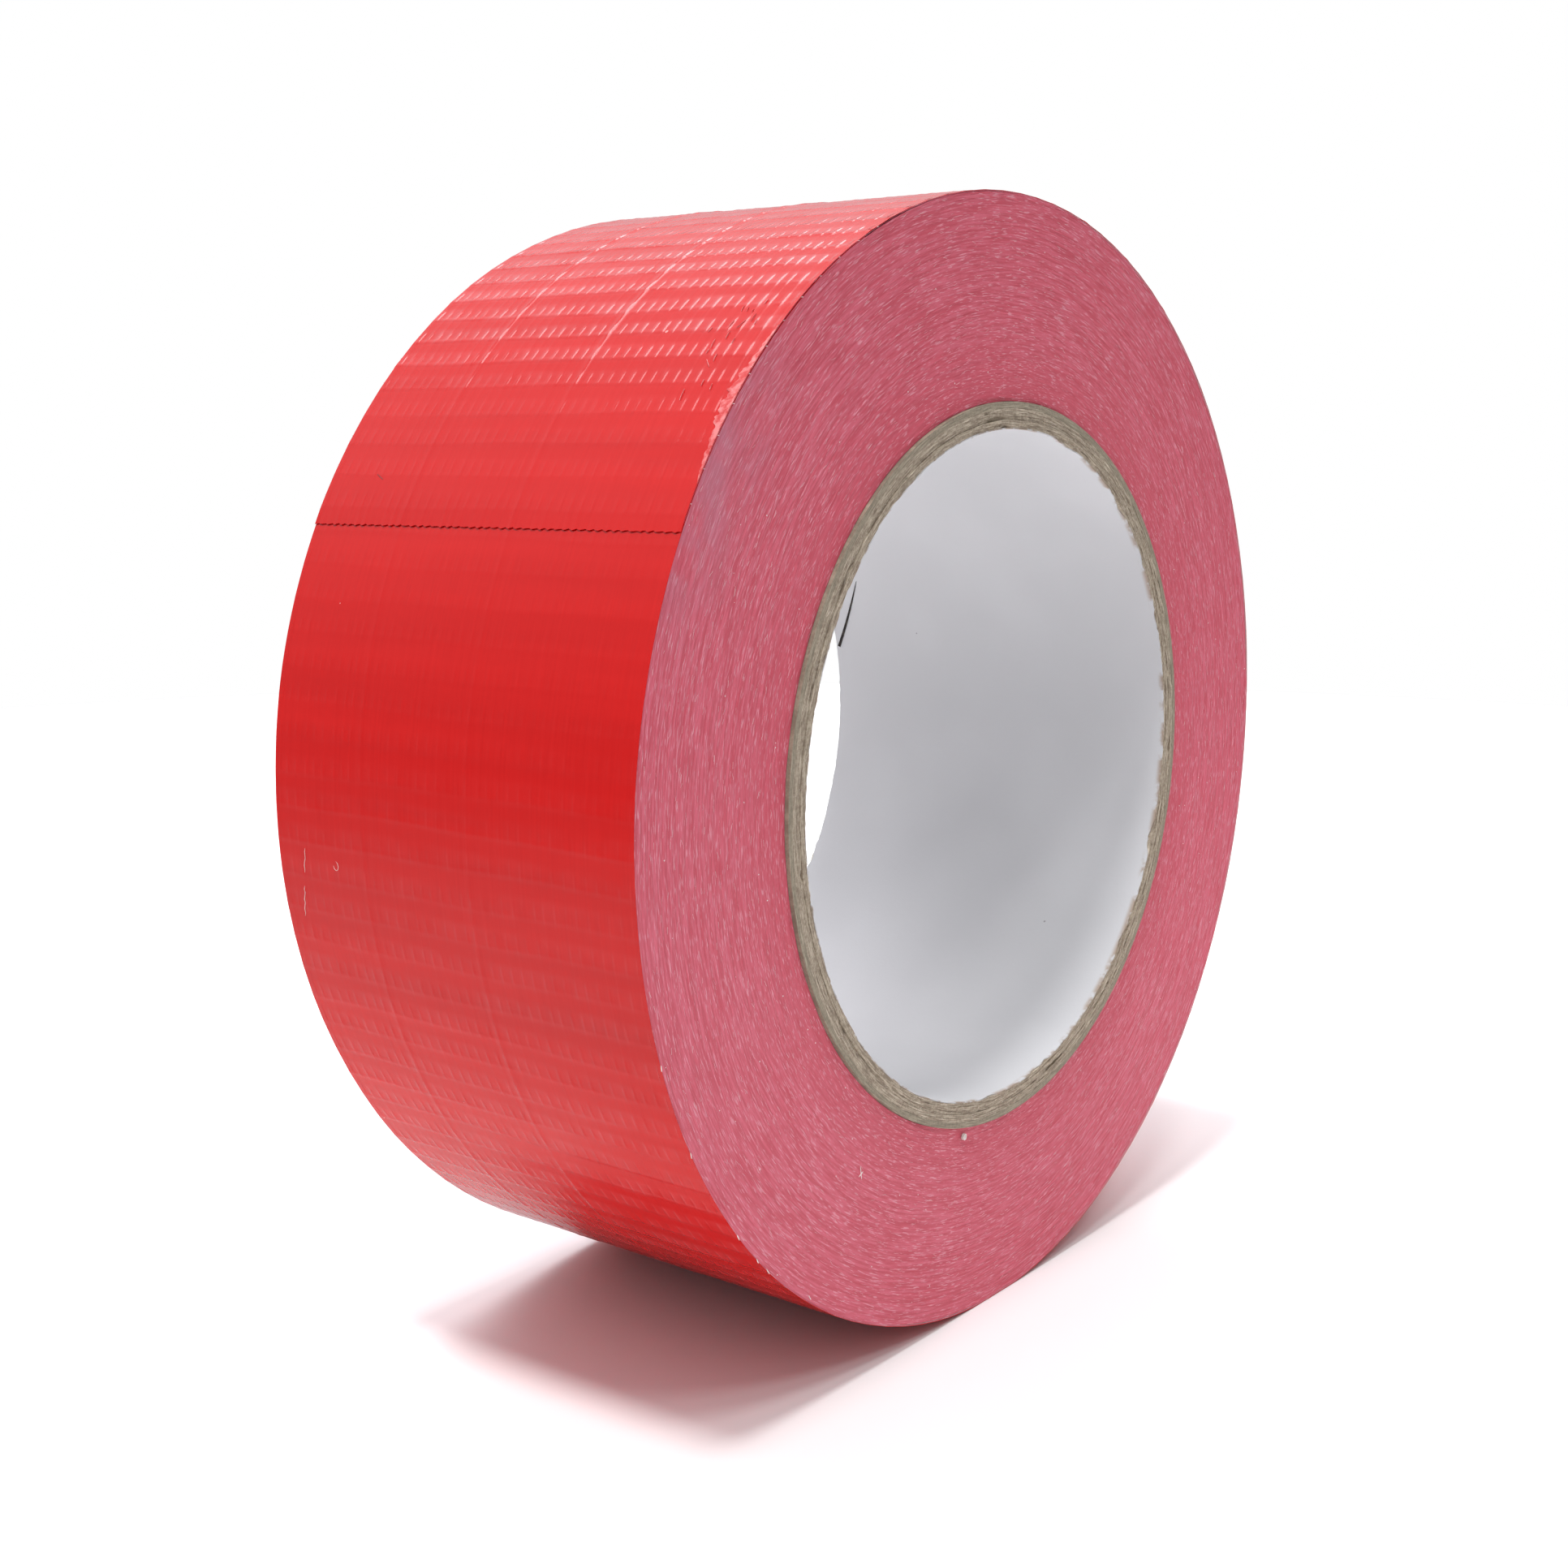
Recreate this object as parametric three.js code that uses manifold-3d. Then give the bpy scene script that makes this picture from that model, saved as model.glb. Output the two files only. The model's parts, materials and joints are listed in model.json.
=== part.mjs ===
// A roll of duct tape standing on its rim, in millimetres, +Z up.
// The roll's axis runs along Y, its front face looks along -Y, and the origin is on the floor under its centre.
// Angles round the roll are in degrees from the top towards -X.

import * as THREE from 'three';
import { mergeVertices } from 'three/addons/utils/BufferGeometryUtils.js';
import Module from 'manifold-3d';

// The tape
const tapeWidth = 50;
const tapeThickness = 0.15;
const filmThickness = 0.06;
const scrimThickness = 0.04;

// The roll
const rollRadius = 63.8; // at the tape's free end
const turnStep = 3.75; // degrees between the facets of every turn
const footHalfAngle = turnStep; // the rim is pressed flat this far to each side of the floor contact

// The core
const coreBoreRadius = 38.3;
const coreOuterRadius = 41.3;
const coreLength = 51.6;
const coreProudAtFront = 0.4;
const linerThickness = 0.16;
const outerPlyThickness = 0.7;
const innerPlyCount = 5;
const coreStep = 5;

// The loose end
const tailEndAngle = 63;
const peelAngle = 26.25; // where the loose end lifts off the roll
const seamAngle = 56.25; // where the last turn passes under the loose end and joins the pack
const toothPitch = 1.2;
const toothDepth = 0.5;
const cutTilt = 0.7; // degrees between the torn edge and the roll's axis
const tailOverrun = 4.5; // degrees of tape past the torn edge before it is cut

// Clearances between solids that are glued together on the real roll
const layerGap = 0.01;
const plyGap = 0.02;
const endGap = 0.05;

const coreBackY = coreLength / 2;
const tapeFrontY = -coreLength / 2 + coreProudAtFront;
const tapeBackY = tapeFrontY + tapeWidth;
const footPress = rollRadius * (1 - Math.cos(THREE.MathUtils.degToRad(footHalfAngle)));
const centreHeight = outerRadius(tailEndAngle + 180) - footPress;

function finish(colour, roughness) {
  return new THREE.MeshStandardMaterial({ color: colour, roughness, metalness: 0 });
}

const finishes = {
  film: finish(0xd8332f, 0.25),
  scrim: finish(0xe6ddd2, 0.8),
  adhesive: finish(0xa9a6a0, 0.6),
  pack: finish(0xc25a68, 0.7),
  board: finish(0x8c7b6c, 0.9),
  liner: finish(0xb7b6bb, 0.8),
};

// Outside radius of the tape, this many degrees back along it from its free end
function outerRadius(degreesBack) {
  return rollRadius - (tapeThickness * degreesBack) / 360;
}

// A radius as the floor leaves it: every turn near the foot is pressed in by the same amount
function pressedRadius(radius, angle) {
  const towardsFloor = -Math.cos(THREE.MathUtils.degToRad(angle));
  if (towardsFloor <= 0) return radius;
  return Math.min(radius, (radius - footPress) / towardsFloor);
}

function pointAt(angle, radius) {
  const turn = THREE.MathUtils.degToRad(angle);
  return new THREE.Vector2(-radius * Math.sin(turn), radius * Math.cos(turn));
}

// Angles from one to another, going back along the tape, with a stop at every facet edge between them
function anglesBack(from, to) {
  const angles = [from];
  for (let k = Math.ceil(from / turnStep) - 1; k * turnStep > to; k -= 1) angles.push(k * turnStep);
  angles.push(to);
  return angles;
}

// One surface of the tape, at a depth under its outside, as points going back along it
function turnSurface(angles, depth) {
  return angles.map((angle) => {
    const radius = outerRadius(tailEndAngle - angle) - depth;
    return pointAt(angle, pressedRadius(radius, angle));
  });
}

function circle(radius) {
  const points = [];
  for (let angle = 0; angle < 360; angle += coreStep) points.push(pointAt(angle, radius));
  return points;
}

// A flat outline drawn across the roll, carried along the roll's axis from its back to its front
function across(outline, backY, length) {
  const geometry = new THREE.ExtrudeGeometry(outline, { depth: length, bevelEnabled: false });
  geometry.translate(0, 0, -backY);
  return geometry;
}

function tube(innerRadius, outsideRadius) {
  const outline = new THREE.Shape(circle(outsideRadius));
  outline.holes.push(new THREE.Path(circle(innerRadius)));
  return across(outline, coreBackY, coreLength);
}

// The turns that stay on the roll, glued into one block, with a step where the last full turn starts
function woundPack() {
  const surface = turnSurface(anglesBack(seamAngle, seamAngle - 360), tapeThickness);
  const outline = new THREE.Shape(surface);
  outline.holes.push(new THREE.Path(circle(coreOuterRadius + plyGap)));
  return across(outline, tapeBackY, tapeWidth);
}

// One layer of the tape between two angles, from one depth under its outside to another
function tapeLayer(from, to, topDepth, bottomDepth) {
  const angles = anglesBack(from, to);
  const top = turnSurface(angles, topDepth);
  const bottom = turnSurface(angles, bottomDepth).reverse();
  return across(new THREE.Shape([...top, ...bottom]), tapeBackY, tapeWidth);
}

const wasm = await Module();
wasm.setup();

function toSolid(geometry) {
  const bare = geometry.index ? geometry.toNonIndexed() : geometry.clone();
  bare.deleteAttribute('normal');
  bare.deleteAttribute('uv');
  const merged = mergeVertices(bare, 1e-4);
  const vertProperties = Float32Array.from(merged.attributes.position.array);
  const triVerts = Uint32Array.from(merged.index.array);
  return new wasm.Manifold(new wasm.Mesh({ numProp: 3, vertProperties, triVerts }));
}

function toGeometry(solid) {
  const mesh = solid.getMesh();
  const geometry = new THREE.BufferGeometry();
  geometry.setAttribute('position', new THREE.BufferAttribute(Float32Array.from(mesh.vertProperties), 3));
  geometry.setIndex(new THREE.BufferAttribute(Uint32Array.from(mesh.triVerts), 1));
  return geometry;
}

// What the pinking blade takes away: everything past a row of teeth across the tape's end
function bladeCut() {
  const reach = 12;
  const halfRow = tapeWidth / 2 + 2;
  const outline = new THREE.Shape();
  outline.moveTo(reach, halfRow);
  outline.lineTo(reach, -halfRow);
  const toothCount = Math.round((2 * halfRow) / toothPitch);
  for (let tooth = 0; tooth < toothCount; tooth += 1) {
    const start = -halfRow + (tooth * 2 * halfRow) / toothCount;
    outline.lineTo(-toothDepth, start);
    outline.lineTo(0, start + halfRow / toothCount);
  }
  outline.lineTo(-toothDepth, halfRow);
  const cutHeight = 4;
  const geometry = new THREE.ExtrudeGeometry(outline, { depth: cutHeight, bevelEnabled: false });
  geometry.rotateZ(THREE.MathUtils.degToRad(cutTilt));
  const turn = THREE.MathUtils.degToRad(tailEndAngle);
  const outwards = new THREE.Vector3(-Math.sin(turn), Math.cos(turn), 0);
  const alongTape = new THREE.Vector3(-Math.cos(turn), -Math.sin(turn), 0);
  const alongAxis = new THREE.Vector3(0, 0, 1);
  const place = new THREE.Matrix4().makeBasis(alongTape, alongAxis, outwards);
  place.setPosition(outwards.clone().multiplyScalar(rollRadius - cutHeight / 2));
  place.premultiply(new THREE.Matrix4().makeTranslation(0, 0, -(tapeFrontY + tapeBackY) / 2));
  geometry.applyMatrix4(place);
  return geometry;
}

const blade = toSolid(bladeCut());

function tailLayer(topDepth, bottomDepth) {
  const uncut = tapeLayer(tailEndAngle + tailOverrun, peelAngle, topDepth, bottomDepth);
  return toGeometry(toSolid(uncut).subtract(blade));
}

function turnLayer(topDepth, bottomDepth) {
  const gapAngle = THREE.MathUtils.radToDeg(endGap / rollRadius);
  return tapeLayer(peelAngle - gapAngle, seamAngle - 360 + gapAngle, topDepth, bottomDepth);
}

// The shapes are drawn across the roll in X and up, and this group turns them to stand along Y
const roll = new THREE.Group();
roll.rotation.x = Math.PI / 2;
roll.position.z = centreHeight;

function add(name, geometry, material) {
  const mesh = new THREE.Mesh(geometry, material);
  mesh.name = name;
  roll.add(mesh);
}

// The core: a white liner, plies of grey board, and a smooth outer ply
function addCore() {
  const firstPlyRadius = coreBoreRadius + linerThickness;
  const outerPlyRadius = coreOuterRadius - outerPlyThickness;
  const plyThickness = (outerPlyRadius - firstPlyRadius) / innerPlyCount;
  add('core_liner', tube(coreBoreRadius, firstPlyRadius - plyGap), finishes.liner);
  for (let ply = 0; ply < innerPlyCount; ply += 1) {
    const inside = firstPlyRadius + ply * plyThickness;
    add(`core_ply_${ply + 1}`, tube(inside, inside + plyThickness - plyGap), finishes.board);
  }
  add('core_outer_ply', tube(outerPlyRadius, coreOuterRadius), finishes.board);
}

// The tape's three layers, from the outside in, for the last turn and for its loose end
function addLayers(prefix, makeLayer) {
  const scrimDepth = filmThickness + layerGap;
  const adhesiveDepth = scrimDepth + scrimThickness + layerGap;
  add(`${prefix}_film`, makeLayer(0, filmThickness), finishes.film);
  add(`${prefix}_scrim`, makeLayer(scrimDepth, scrimDepth + scrimThickness), finishes.scrim);
  add(`${prefix}_adhesive`, makeLayer(adhesiveDepth, tapeThickness - layerGap), finishes.adhesive);
}

addCore();
add('wound_pack', woundPack(), finishes.pack);
addLayers('outer_turn', turnLayer);
addLayers('tail', tailLayer);

const ductTapeRoll = new THREE.Group();
ductTapeRoll.add(roll);

export default ductTapeRoll;
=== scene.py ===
import json
import math
import bmesh
import bpy
import numpy as np
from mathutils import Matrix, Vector


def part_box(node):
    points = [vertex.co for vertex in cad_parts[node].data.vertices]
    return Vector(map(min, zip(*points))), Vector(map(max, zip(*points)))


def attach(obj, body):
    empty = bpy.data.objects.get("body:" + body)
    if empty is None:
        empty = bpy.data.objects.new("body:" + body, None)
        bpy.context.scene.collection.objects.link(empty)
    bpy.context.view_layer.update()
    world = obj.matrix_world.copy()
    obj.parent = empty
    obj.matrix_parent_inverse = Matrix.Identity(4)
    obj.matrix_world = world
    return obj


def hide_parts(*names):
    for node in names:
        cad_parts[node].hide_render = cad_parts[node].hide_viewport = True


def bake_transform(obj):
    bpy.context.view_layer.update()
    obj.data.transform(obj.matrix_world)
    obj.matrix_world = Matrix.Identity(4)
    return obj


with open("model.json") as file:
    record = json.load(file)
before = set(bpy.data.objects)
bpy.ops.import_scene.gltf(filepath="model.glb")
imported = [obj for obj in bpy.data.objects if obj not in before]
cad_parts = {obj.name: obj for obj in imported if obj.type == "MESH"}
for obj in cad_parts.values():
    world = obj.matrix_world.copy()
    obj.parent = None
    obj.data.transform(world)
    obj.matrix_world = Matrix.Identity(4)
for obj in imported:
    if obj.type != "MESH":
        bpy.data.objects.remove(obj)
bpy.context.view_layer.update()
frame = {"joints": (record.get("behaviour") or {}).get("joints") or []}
mm = 0.001

# where the CAD model has its parts
linerLow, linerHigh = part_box("core_liner")
filmLow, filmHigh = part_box("outer_turn_film")
centreZ = (linerLow.z + linerHigh.z) / 2
tapeFront, tapeBack = filmLow.y, filmHigh.y
tapeMiddle = (tapeFront + tapeBack) / 2
coreFront, coreBack = linerLow.y, linerHigh.y
peelPoint = Vector(next(j for j in frame["joints"] if j["name"] == "tail_peel")["pos_m"])
peelAngle = math.degrees(math.atan2(-peelPoint.x, peelPoint.z - centreZ))

# angles are degrees from the top of the roll towards -X, as the tape's free end points
tape = {
    "thickness": 0.15 * mm,
    "endAngle": 63.0,
    "cutTilt": 0.6,  # degrees
    "toothPitch": 1.05 * mm,
    "toothDepth": 0.24 * mm,
    "endDrop": 0.075 * mm,  # how far the thin cut edge sinks to the turn below
    "dropReach": 1.6 * mm,
    "cutReach": 2.5 * mm,  # how far back the cut's shape shifts the mesh
    "bendLength": 3.0 * mm,  # film that curls at the peel line
}
peelRadius = math.hypot(peelPoint.x, peelPoint.z - centreZ)
rollRadius = peelRadius + tape["thickness"] * (tape["endAngle"] - peelAngle) / 360


# outside radius, this many degrees back from the free end
def tapeRadius(back):
    return rollRadius - tape["thickness"] * back / 360


footPress = tapeRadius(tape["endAngle"] + 180) - (centreZ - filmLow.z)


def pressed(radius, angle):  # the rim is flat where the roll stands
    towardsFloor = -np.cos(np.radians(angle))
    flat = (radius - footPress) / np.maximum(towardsFloor, 0.5)
    return np.where(towardsFloor > 0.5, np.minimum(radius, flat), radius)


def around(angle, radius, y):
    turn = np.radians(angle)
    x = -radius * np.sin(turn)
    z = centreZ + radius * np.cos(turn)
    return np.stack(np.broadcast_arrays(x, y, z), axis=-1)


def halfWidth(node):
    low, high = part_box(node)
    return (high.x - low.x) / 2


def addObject(name, data):
    made = bpy.data.objects.new(name, data)
    bpy.context.scene.collection.objects.link(made)
    return made


def shadeSmooth(mesh, sharpFrom=35):
    mesh.polygons.foreach_set("use_smooth", np.ones(len(mesh.polygons), bool))
    mesh.set_sharp_from_angle(angle=math.radians(sharpFrom))


def faceOutwards(mesh):
    work = bmesh.new()
    work.from_mesh(mesh)
    bmesh.ops.recalc_face_normals(work, faces=work.faces)
    work.to_mesh(mesh)
    work.free()


def solidFrom(name, points, faces, material, uvs=None):
    mesh = bpy.data.meshes.new(name)
    mesh.from_pydata(points.reshape(-1, 3).tolist(), [], faces)
    loops = np.zeros(len(mesh.loops), np.int32)
    mesh.loops.foreach_get("vertex_index", loops)
    for label, values in (uvs or {}).items():
        flat = np.asarray(values, np.float32).reshape(-1, 2)[loops]
        mesh.uv_layers.new(name=label).data.foreach_set("uv", flat.ravel())
    shadeSmooth(mesh)
    mesh.materials.append(material)
    mesh.update()
    faceOutwards(mesh)
    return addObject(name, mesh)


def gridFaces(rows, columns, closed=False, start=0):
    faces = []
    for row in range(rows - 1):
        for column in range(columns if closed else columns - 1):
            here = start + row * columns + column
            beside = start + row * columns + (column + 1) % columns
            faces.append((here, beside, beside + columns, here + columns))
    return faces


# the sides and both ends of a rod, from one ring of points after another
def rodFaces(rings, sides, start=0):
    last = start + (rings - 1) * sides
    ends = [tuple(range(start, start + sides)), tuple(range(last, last + sides))[::-1]]
    return gridFaces(rings, sides, True, start) + ends


# a plain mesh from a Geometry Nodes tree
def fromTree(name, tree, values):
    made = addObject(name, bpy.data.meshes.new(name + "_seed"))
    modifier = made.modifiers.new(name, "NODES")
    modifier.node_group = tree
    for item in tree.interface.items_tree:
        if item.in_out == "INPUT" and item.name in values:
            modifier[item.identifier] = values[item.name]
    evaluated = made.evaluated_get(bpy.context.evaluated_depsgraph_get())
    mesh = bpy.data.meshes.new_from_object(evaluated)
    made.modifiers.clear()
    made.data = mesh
    mesh.name = name
    faceOutwards(mesh)
    shadeSmooth(mesh)
    return made


def put(tree, kind, *values, **settings):
    node = tree.nodes.new(kind)
    for key, value in settings.items():
        setattr(node, key, value)
    for socket, value in zip(node.inputs, values):
        if isinstance(value, bpy.types.NodeSocket):
            tree.links.new(value, socket)
        elif value is not None:
            socket.default_value = value
    return node


def calc(tree, operation, *values):
    return put(tree, "ShaderNodeMath", *values, operation=operation).outputs[0]


def plus(tree, first, second):
    return calc(tree, "ADD", first, second)


def minus(tree, first, second):
    return calc(tree, "SUBTRACT", first, second)


def times(tree, first, second):
    return calc(tree, "MULTIPLY", first, second)


def divided(tree, first, second):
    return calc(tree, "DIVIDE", first, second)


# the first value where chosen is 1 and the second where it is 0
def either(tree, chosen, first, second):
    return plus(tree, times(tree, first, chosen), times(tree, second, minus(tree, 1.0, chosen)))


def split(tree, vector):
    return put(tree, "ShaderNodeSeparateXYZ", vector).outputs


def vectorOf(tree, x, y, z):
    return put(tree, "ShaderNodeCombineXYZ", x, y, z).outputs[0]


def scaledBy(tree, vector, factor):
    node = put(tree, "ShaderNodeVectorMath", vector, operation="SCALE")
    tree.links.new(factor, node.inputs["Scale"])
    return node.outputs[0]


def objectPlace(tree):
    return put(tree, "ShaderNodeTexCoord").outputs["Object"]


def vectorCalc(tree, operation, *values):
    node = put(tree, "ShaderNodeVectorMath", *values, operation=operation)
    return node.outputs[1] if operation in ("LENGTH", "DOT_PRODUCT", "DISTANCE") else node.outputs[0]


def remap(tree, value, fromLow, fromHigh, toLow=0.0, toHigh=1.0, smooth=True):
    node = put(tree, "ShaderNodeMapRange", value, fromLow, fromHigh, toLow, toHigh)
    node.interpolation_type = "SMOOTHSTEP" if smooth else "LINEAR"
    return node.outputs[0]


def noise(tree, vector, scale, detail=2.0, roughness=0.5, distortion=0.0):
    node = put(tree, "ShaderNodeTexNoise")
    tree.links.new(vector, node.inputs["Vector"])
    for socket, value in (("Scale", scale), ("Detail", detail), ("Roughness", roughness),
                          ("Distortion", distortion)):
        node.inputs[socket].default_value = value
    return node.outputs[0]


def blendColour(tree, factor, first, second):
    node = tree.nodes.new("ShaderNodeMix")
    node.data_type = "RGBA"
    for name, value in (("Factor_Float", factor), ("A_Color", first), ("B_Color", second)):
        socket = next(s for s in node.inputs if s.identifier == name)
        if isinstance(value, bpy.types.NodeSocket):
            tree.links.new(value, socket)
        else:
            socket.default_value = value if name == "Factor_Float" else (*value, 1.0)
    return next(s for s in node.outputs if s.identifier == "Result_Color")


# a node tree with named number inputs and outputs; one that makes a mesh also takes its material
def groupOf(name, kind, inputs, outputs=()):
    tree = bpy.data.node_groups.new(name, kind)
    for label, value in inputs.items():
        socketType = {int: "NodeSocketInt", float: "NodeSocketFloat", tuple: "NodeSocketVector"}[type(value)]
        tree.interface.new_socket(label, in_out="INPUT", socket_type=socketType).default_value = value
    for label in outputs:
        tree.interface.new_socket(label, in_out="OUTPUT", socket_type="NodeSocketFloat")
    if kind == "GeometryNodeTree":
        tree.interface.new_socket("Material", in_out="INPUT", socket_type="NodeSocketMaterial")
        tree.interface.new_socket("Geometry", in_out="OUTPUT", socket_type="NodeSocketGeometry")
    return tree, tree.nodes.new("NodeGroupInput").outputs, tree.nodes.new("NodeGroupOutput").inputs


# lays a tone over a colour where the mask is light
def tint(tree, colour, tone, mask, strength=1.0):
    return blendColour(tree, mask if strength == 1.0 else times(tree, mask, strength), colour, tone)


def finishTree(tree, geometry, given, result):
    real = put(tree, "GeometryNodeRealizeInstances", geometry)
    coloured = put(tree, "GeometryNodeSetMaterial", real.outputs[0])
    tree.links.new(given["Material"], coloured.inputs["Material"])
    tree.links.new(coloured.outputs[0], result["Geometry"])


def onCircle(tree, angle, radius):
    return times(tree, calc(tree, "SINE", angle), radius), times(tree, calc(tree, "COSINE", angle), radius)


def onRoll(tree, angle, radius, y):
    aside, up = onCircle(tree, angle, radius)
    return vectorOf(tree, times(tree, aside, -1.0), y, plus(tree, up, centreZ))


def noiseRound(tree, angle, reach, third, detail=2.0, roughness=0.5):
    return noise(tree, vectorOf(tree, *onCircle(tree, angle, reach), third), 1.0, detail, roughness)


# a flat grid, with each point's row and its angle once the grid is closed to a ring
def ringGrid(tree, rows, segments):
    corners = plus(tree, rows, 1.0), plus(tree, segments, 1.0)
    grid = put(tree, "GeometryNodeMeshGrid", rows, segments, *corners)
    place = split(tree, put(tree, "GeometryNodeInputPosition").outputs[0])
    numbers = []
    for along, count in ((place[0], rows), (place[1], segments)):
        number = calc(tree, "ROUND", plus(tree, along, times(tree, count, 0.5)))
        numbers.append(calc(tree, "MODULO", number, count))
    return grid.outputs[0], numbers[0], times(tree, divided(tree, numbers[1], segments), 2 * math.pi)


def closeRing(tree, grid, place, given, result):
    moved = put(tree, "GeometryNodeSetPosition", grid, None, place)
    merged = put(tree, "GeometryNodeMergeByDistance", moved.outputs[0])
    merged.inputs["Distance"].default_value = 0.0005 * mm
    finishTree(tree, merged.outputs[0], given, result)


def useGroup(tree, group, **values):
    node = tree.nodes.new("ShaderNodeGroup")
    node.node_tree = group
    for label, value in values.items():
        socket = node.inputs[label]
        if isinstance(value, bpy.types.NodeSocket):
            tree.links.new(value, socket)
        else:
            socket.default_value = value
    return node.outputs


def startMaterial(name, **constants):
    material = bpy.data.materials.new(name)
    material.use_nodes = True
    tree = material.node_tree
    shader = tree.nodes["Principled BSDF"]
    for label, value in constants.items():
        shader.inputs[label.replace("_", " ")].default_value = value
    return material, tree, shader


def setBump(tree, shader, height, distance, strength=1.0):
    bump = tree.nodes.new("ShaderNodeBump")
    bump.inputs["Distance"].default_value = distance
    bump.inputs["Strength"].default_value = strength
    tree.links.new(height, bump.inputs["Height"])
    tree.links.new(bump.outputs[0], shader.inputs["Normal"])


middleRadius = 55 * mm  # where a streak has its true length


# streaks that run round the roll's axis, from Object coordinates
def makeRoundStreaks():
    inputs = {"Length": 2.5 * mm, "Width": 0.15 * mm, "Shift": 0.0}
    tree, given, result = groupOf("roundStreaks", "ShaderNodeTree", inputs, ("Streak", "Radius", "Angle"))
    parts = split(tree, objectPlace(tree))
    up = minus(tree, parts[2], centreZ)
    flat = vectorOf(tree, parts[0], up, 0.0)
    radius = vectorCalc(tree, "LENGTH", flat)
    perTurn = divided(tree, middleRadius, given["Length"])  # noise cells to a radian
    direction = vectorCalc(tree, "NORMALIZE", flat)
    ring = split(tree, scaledBy(tree, direction, perTurn))
    across = plus(tree, divided(tree, radius, given["Width"]), given["Shift"])
    cell = vectorOf(tree, ring[0], ring[1], across)
    tree.links.new(noise(tree, cell, 1.0, 1.5, 0.55), result["Streak"])
    tree.links.new(radius, result["Radius"])
    angle = calc(tree, "ARCTAN2", times(tree, parts[0], -1.0), up)
    tree.links.new(angle, result["Angle"])
    return tree


# scattered small spots, 1 inside a spot and 0 outside
def makeSpecks():
    inputs = {"Vector": (0.0, 0.0, 0.0), "Spacing": 3.0 * mm, "Size": 0.05, "Share": 0.5}
    tree, given, result = groupOf("specks", "ShaderNodeTree", inputs, ("Speck",))
    cells = put(tree, "ShaderNodeTexVoronoi",
                scaledBy(tree, given["Vector"], divided(tree, 1.0, given["Spacing"])))
    cells.inputs["Scale"].default_value = 1.0
    random = put(tree, "ShaderNodeSeparateColor", cells.outputs["Color"]).outputs
    reach = times(tree, given["Size"], plus(tree, random[1], 0.3))
    spot = calc(tree, "LESS_THAN", cells.outputs["Distance"], reach)
    chosen = calc(tree, "LESS_THAN", random[0], given["Share"])
    tree.links.new(times(tree, spot, chosen), result["Speck"])
    return tree


weaveLook = {  # in shares of the pitch between two wefts, and shares of the pale tint, a painted highlight on the weave
    "dashShift": 0.20,
    "dashReach": (0.10, 0.34),
    "betweenDashes": 0.15,
    "paintedHighlightDash": 0.34,
    "paintedHighlightCell": 0.20,
    "cellReach": (0.22, 0.42),
    "warpHalfWidth": 0.24,
    "weftHalfWidth": 0.13,
    "patches": (0.9, 0.35, 1.0),  # how many patches of the painted highlight to a yarn
}


# height of the yarns under the film, from the yarn numbers that the pieces carry, and a painted highlight
# where their glints and reflected bands fall
def makeWeaveRelief():
    inputs = {"Warp Height": 1.0, "Weft Height": 1.0}
    tree, given, result = groupOf("weaveRelief", "ShaderNodeTree", inputs, ("Height", "Painted Highlight"))
    yarns = put(tree, "ShaderNodeUVMap", uv_map="yarns").outputs[0]  # counted along and across the tape
    parts = split(tree, yarns)
    heights = []
    for index, halfWidth in ((1, weaveLook["warpHalfWidth"]), (0, weaveLook["weftHalfWidth"])):
        middle = calc(tree, "FRACT", plus(tree, parts[index], 0.5))
        offset = calc(tree, "ABSOLUTE", minus(tree, middle, 0.5))
        heights.append(remap(tree, offset, 0.0, halfWidth, 1.0, 0.0))
    crossing = calc(tree, "FRACT", plus(tree, parts[0], 0.5 - weaveLook["dashShift"]))
    fromCrossing = calc(tree, "ABSOLUTE", minus(tree, crossing, 0.5))
    dash = remap(tree, fromCrossing, *weaveLook["dashReach"], 1.0, weaveLook["betweenDashes"])
    warp = times(tree, heights[0], dash)
    weft = times(tree, heights[1], given["Weft Height"])
    total = plus(tree, times(tree, warp, given["Warp Height"]), weft)
    # the second share is how much painted highlight the film carries there
    shares = split(tree, put(tree, "ShaderNodeUVMap", uv_map="shares").outputs[0])
    tree.links.new(times(tree, total, shares[0]), result["Height"])
    # painted highlight: pale cells between the wefts and pale dashes on the warp ridges, in place of
    # reflected bands and glints
    cell = remap(tree, fromCrossing, *weaveLook["cellReach"], weaveLook["paintedHighlightCell"], 0.0)
    patchy = noise(tree, vectorCalc(tree, "MULTIPLY", yarns, weaveLook["patches"]), 1.0, 2.0)
    patchy = remap(tree, patchy, 0.32, 0.66, 0.15, 1.0)
    narrow = remap(tree, heights[0], 0.35, 1.0)
    pale = plus(tree, times(tree, times(tree, narrow, dash), weaveLook["paintedHighlightDash"]), cell)
    pale = times(tree, times(tree, pale, patchy), shares[1])
    tree.links.new(pale, result["Painted Highlight"])
    return tree


roundStreaks = makeRoundStreaks()
specks = makeSpecks()
weaveRelief = makeWeaveRelief()


filmFinish = {
    "red": (0.630, 0.0065, 0.0055),
    "deepRed": (0.545, 0.0030, 0.0025),
    "scuff": (0.80, 0.30, 0.29),
    # the pale tone is a painted highlight laid over the weave
    "pale": (0.72, 0.30, 0.32),
    "roughness": 0.13,
    "drawnLines": (120.0, 3200.0, 1.0),  # how fine, along and across the tape
    "bands": (260.0, 16.0, 1.0),
    "drawnRelief": 0.12,  # in shares of a yarn's
    "bandRelief": 0.9,
    "relief": 0.034 * mm,
    "dust": {"Spacing": 5.5 * mm, "Size": 0.028, "Share": 0.5},
}


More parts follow.
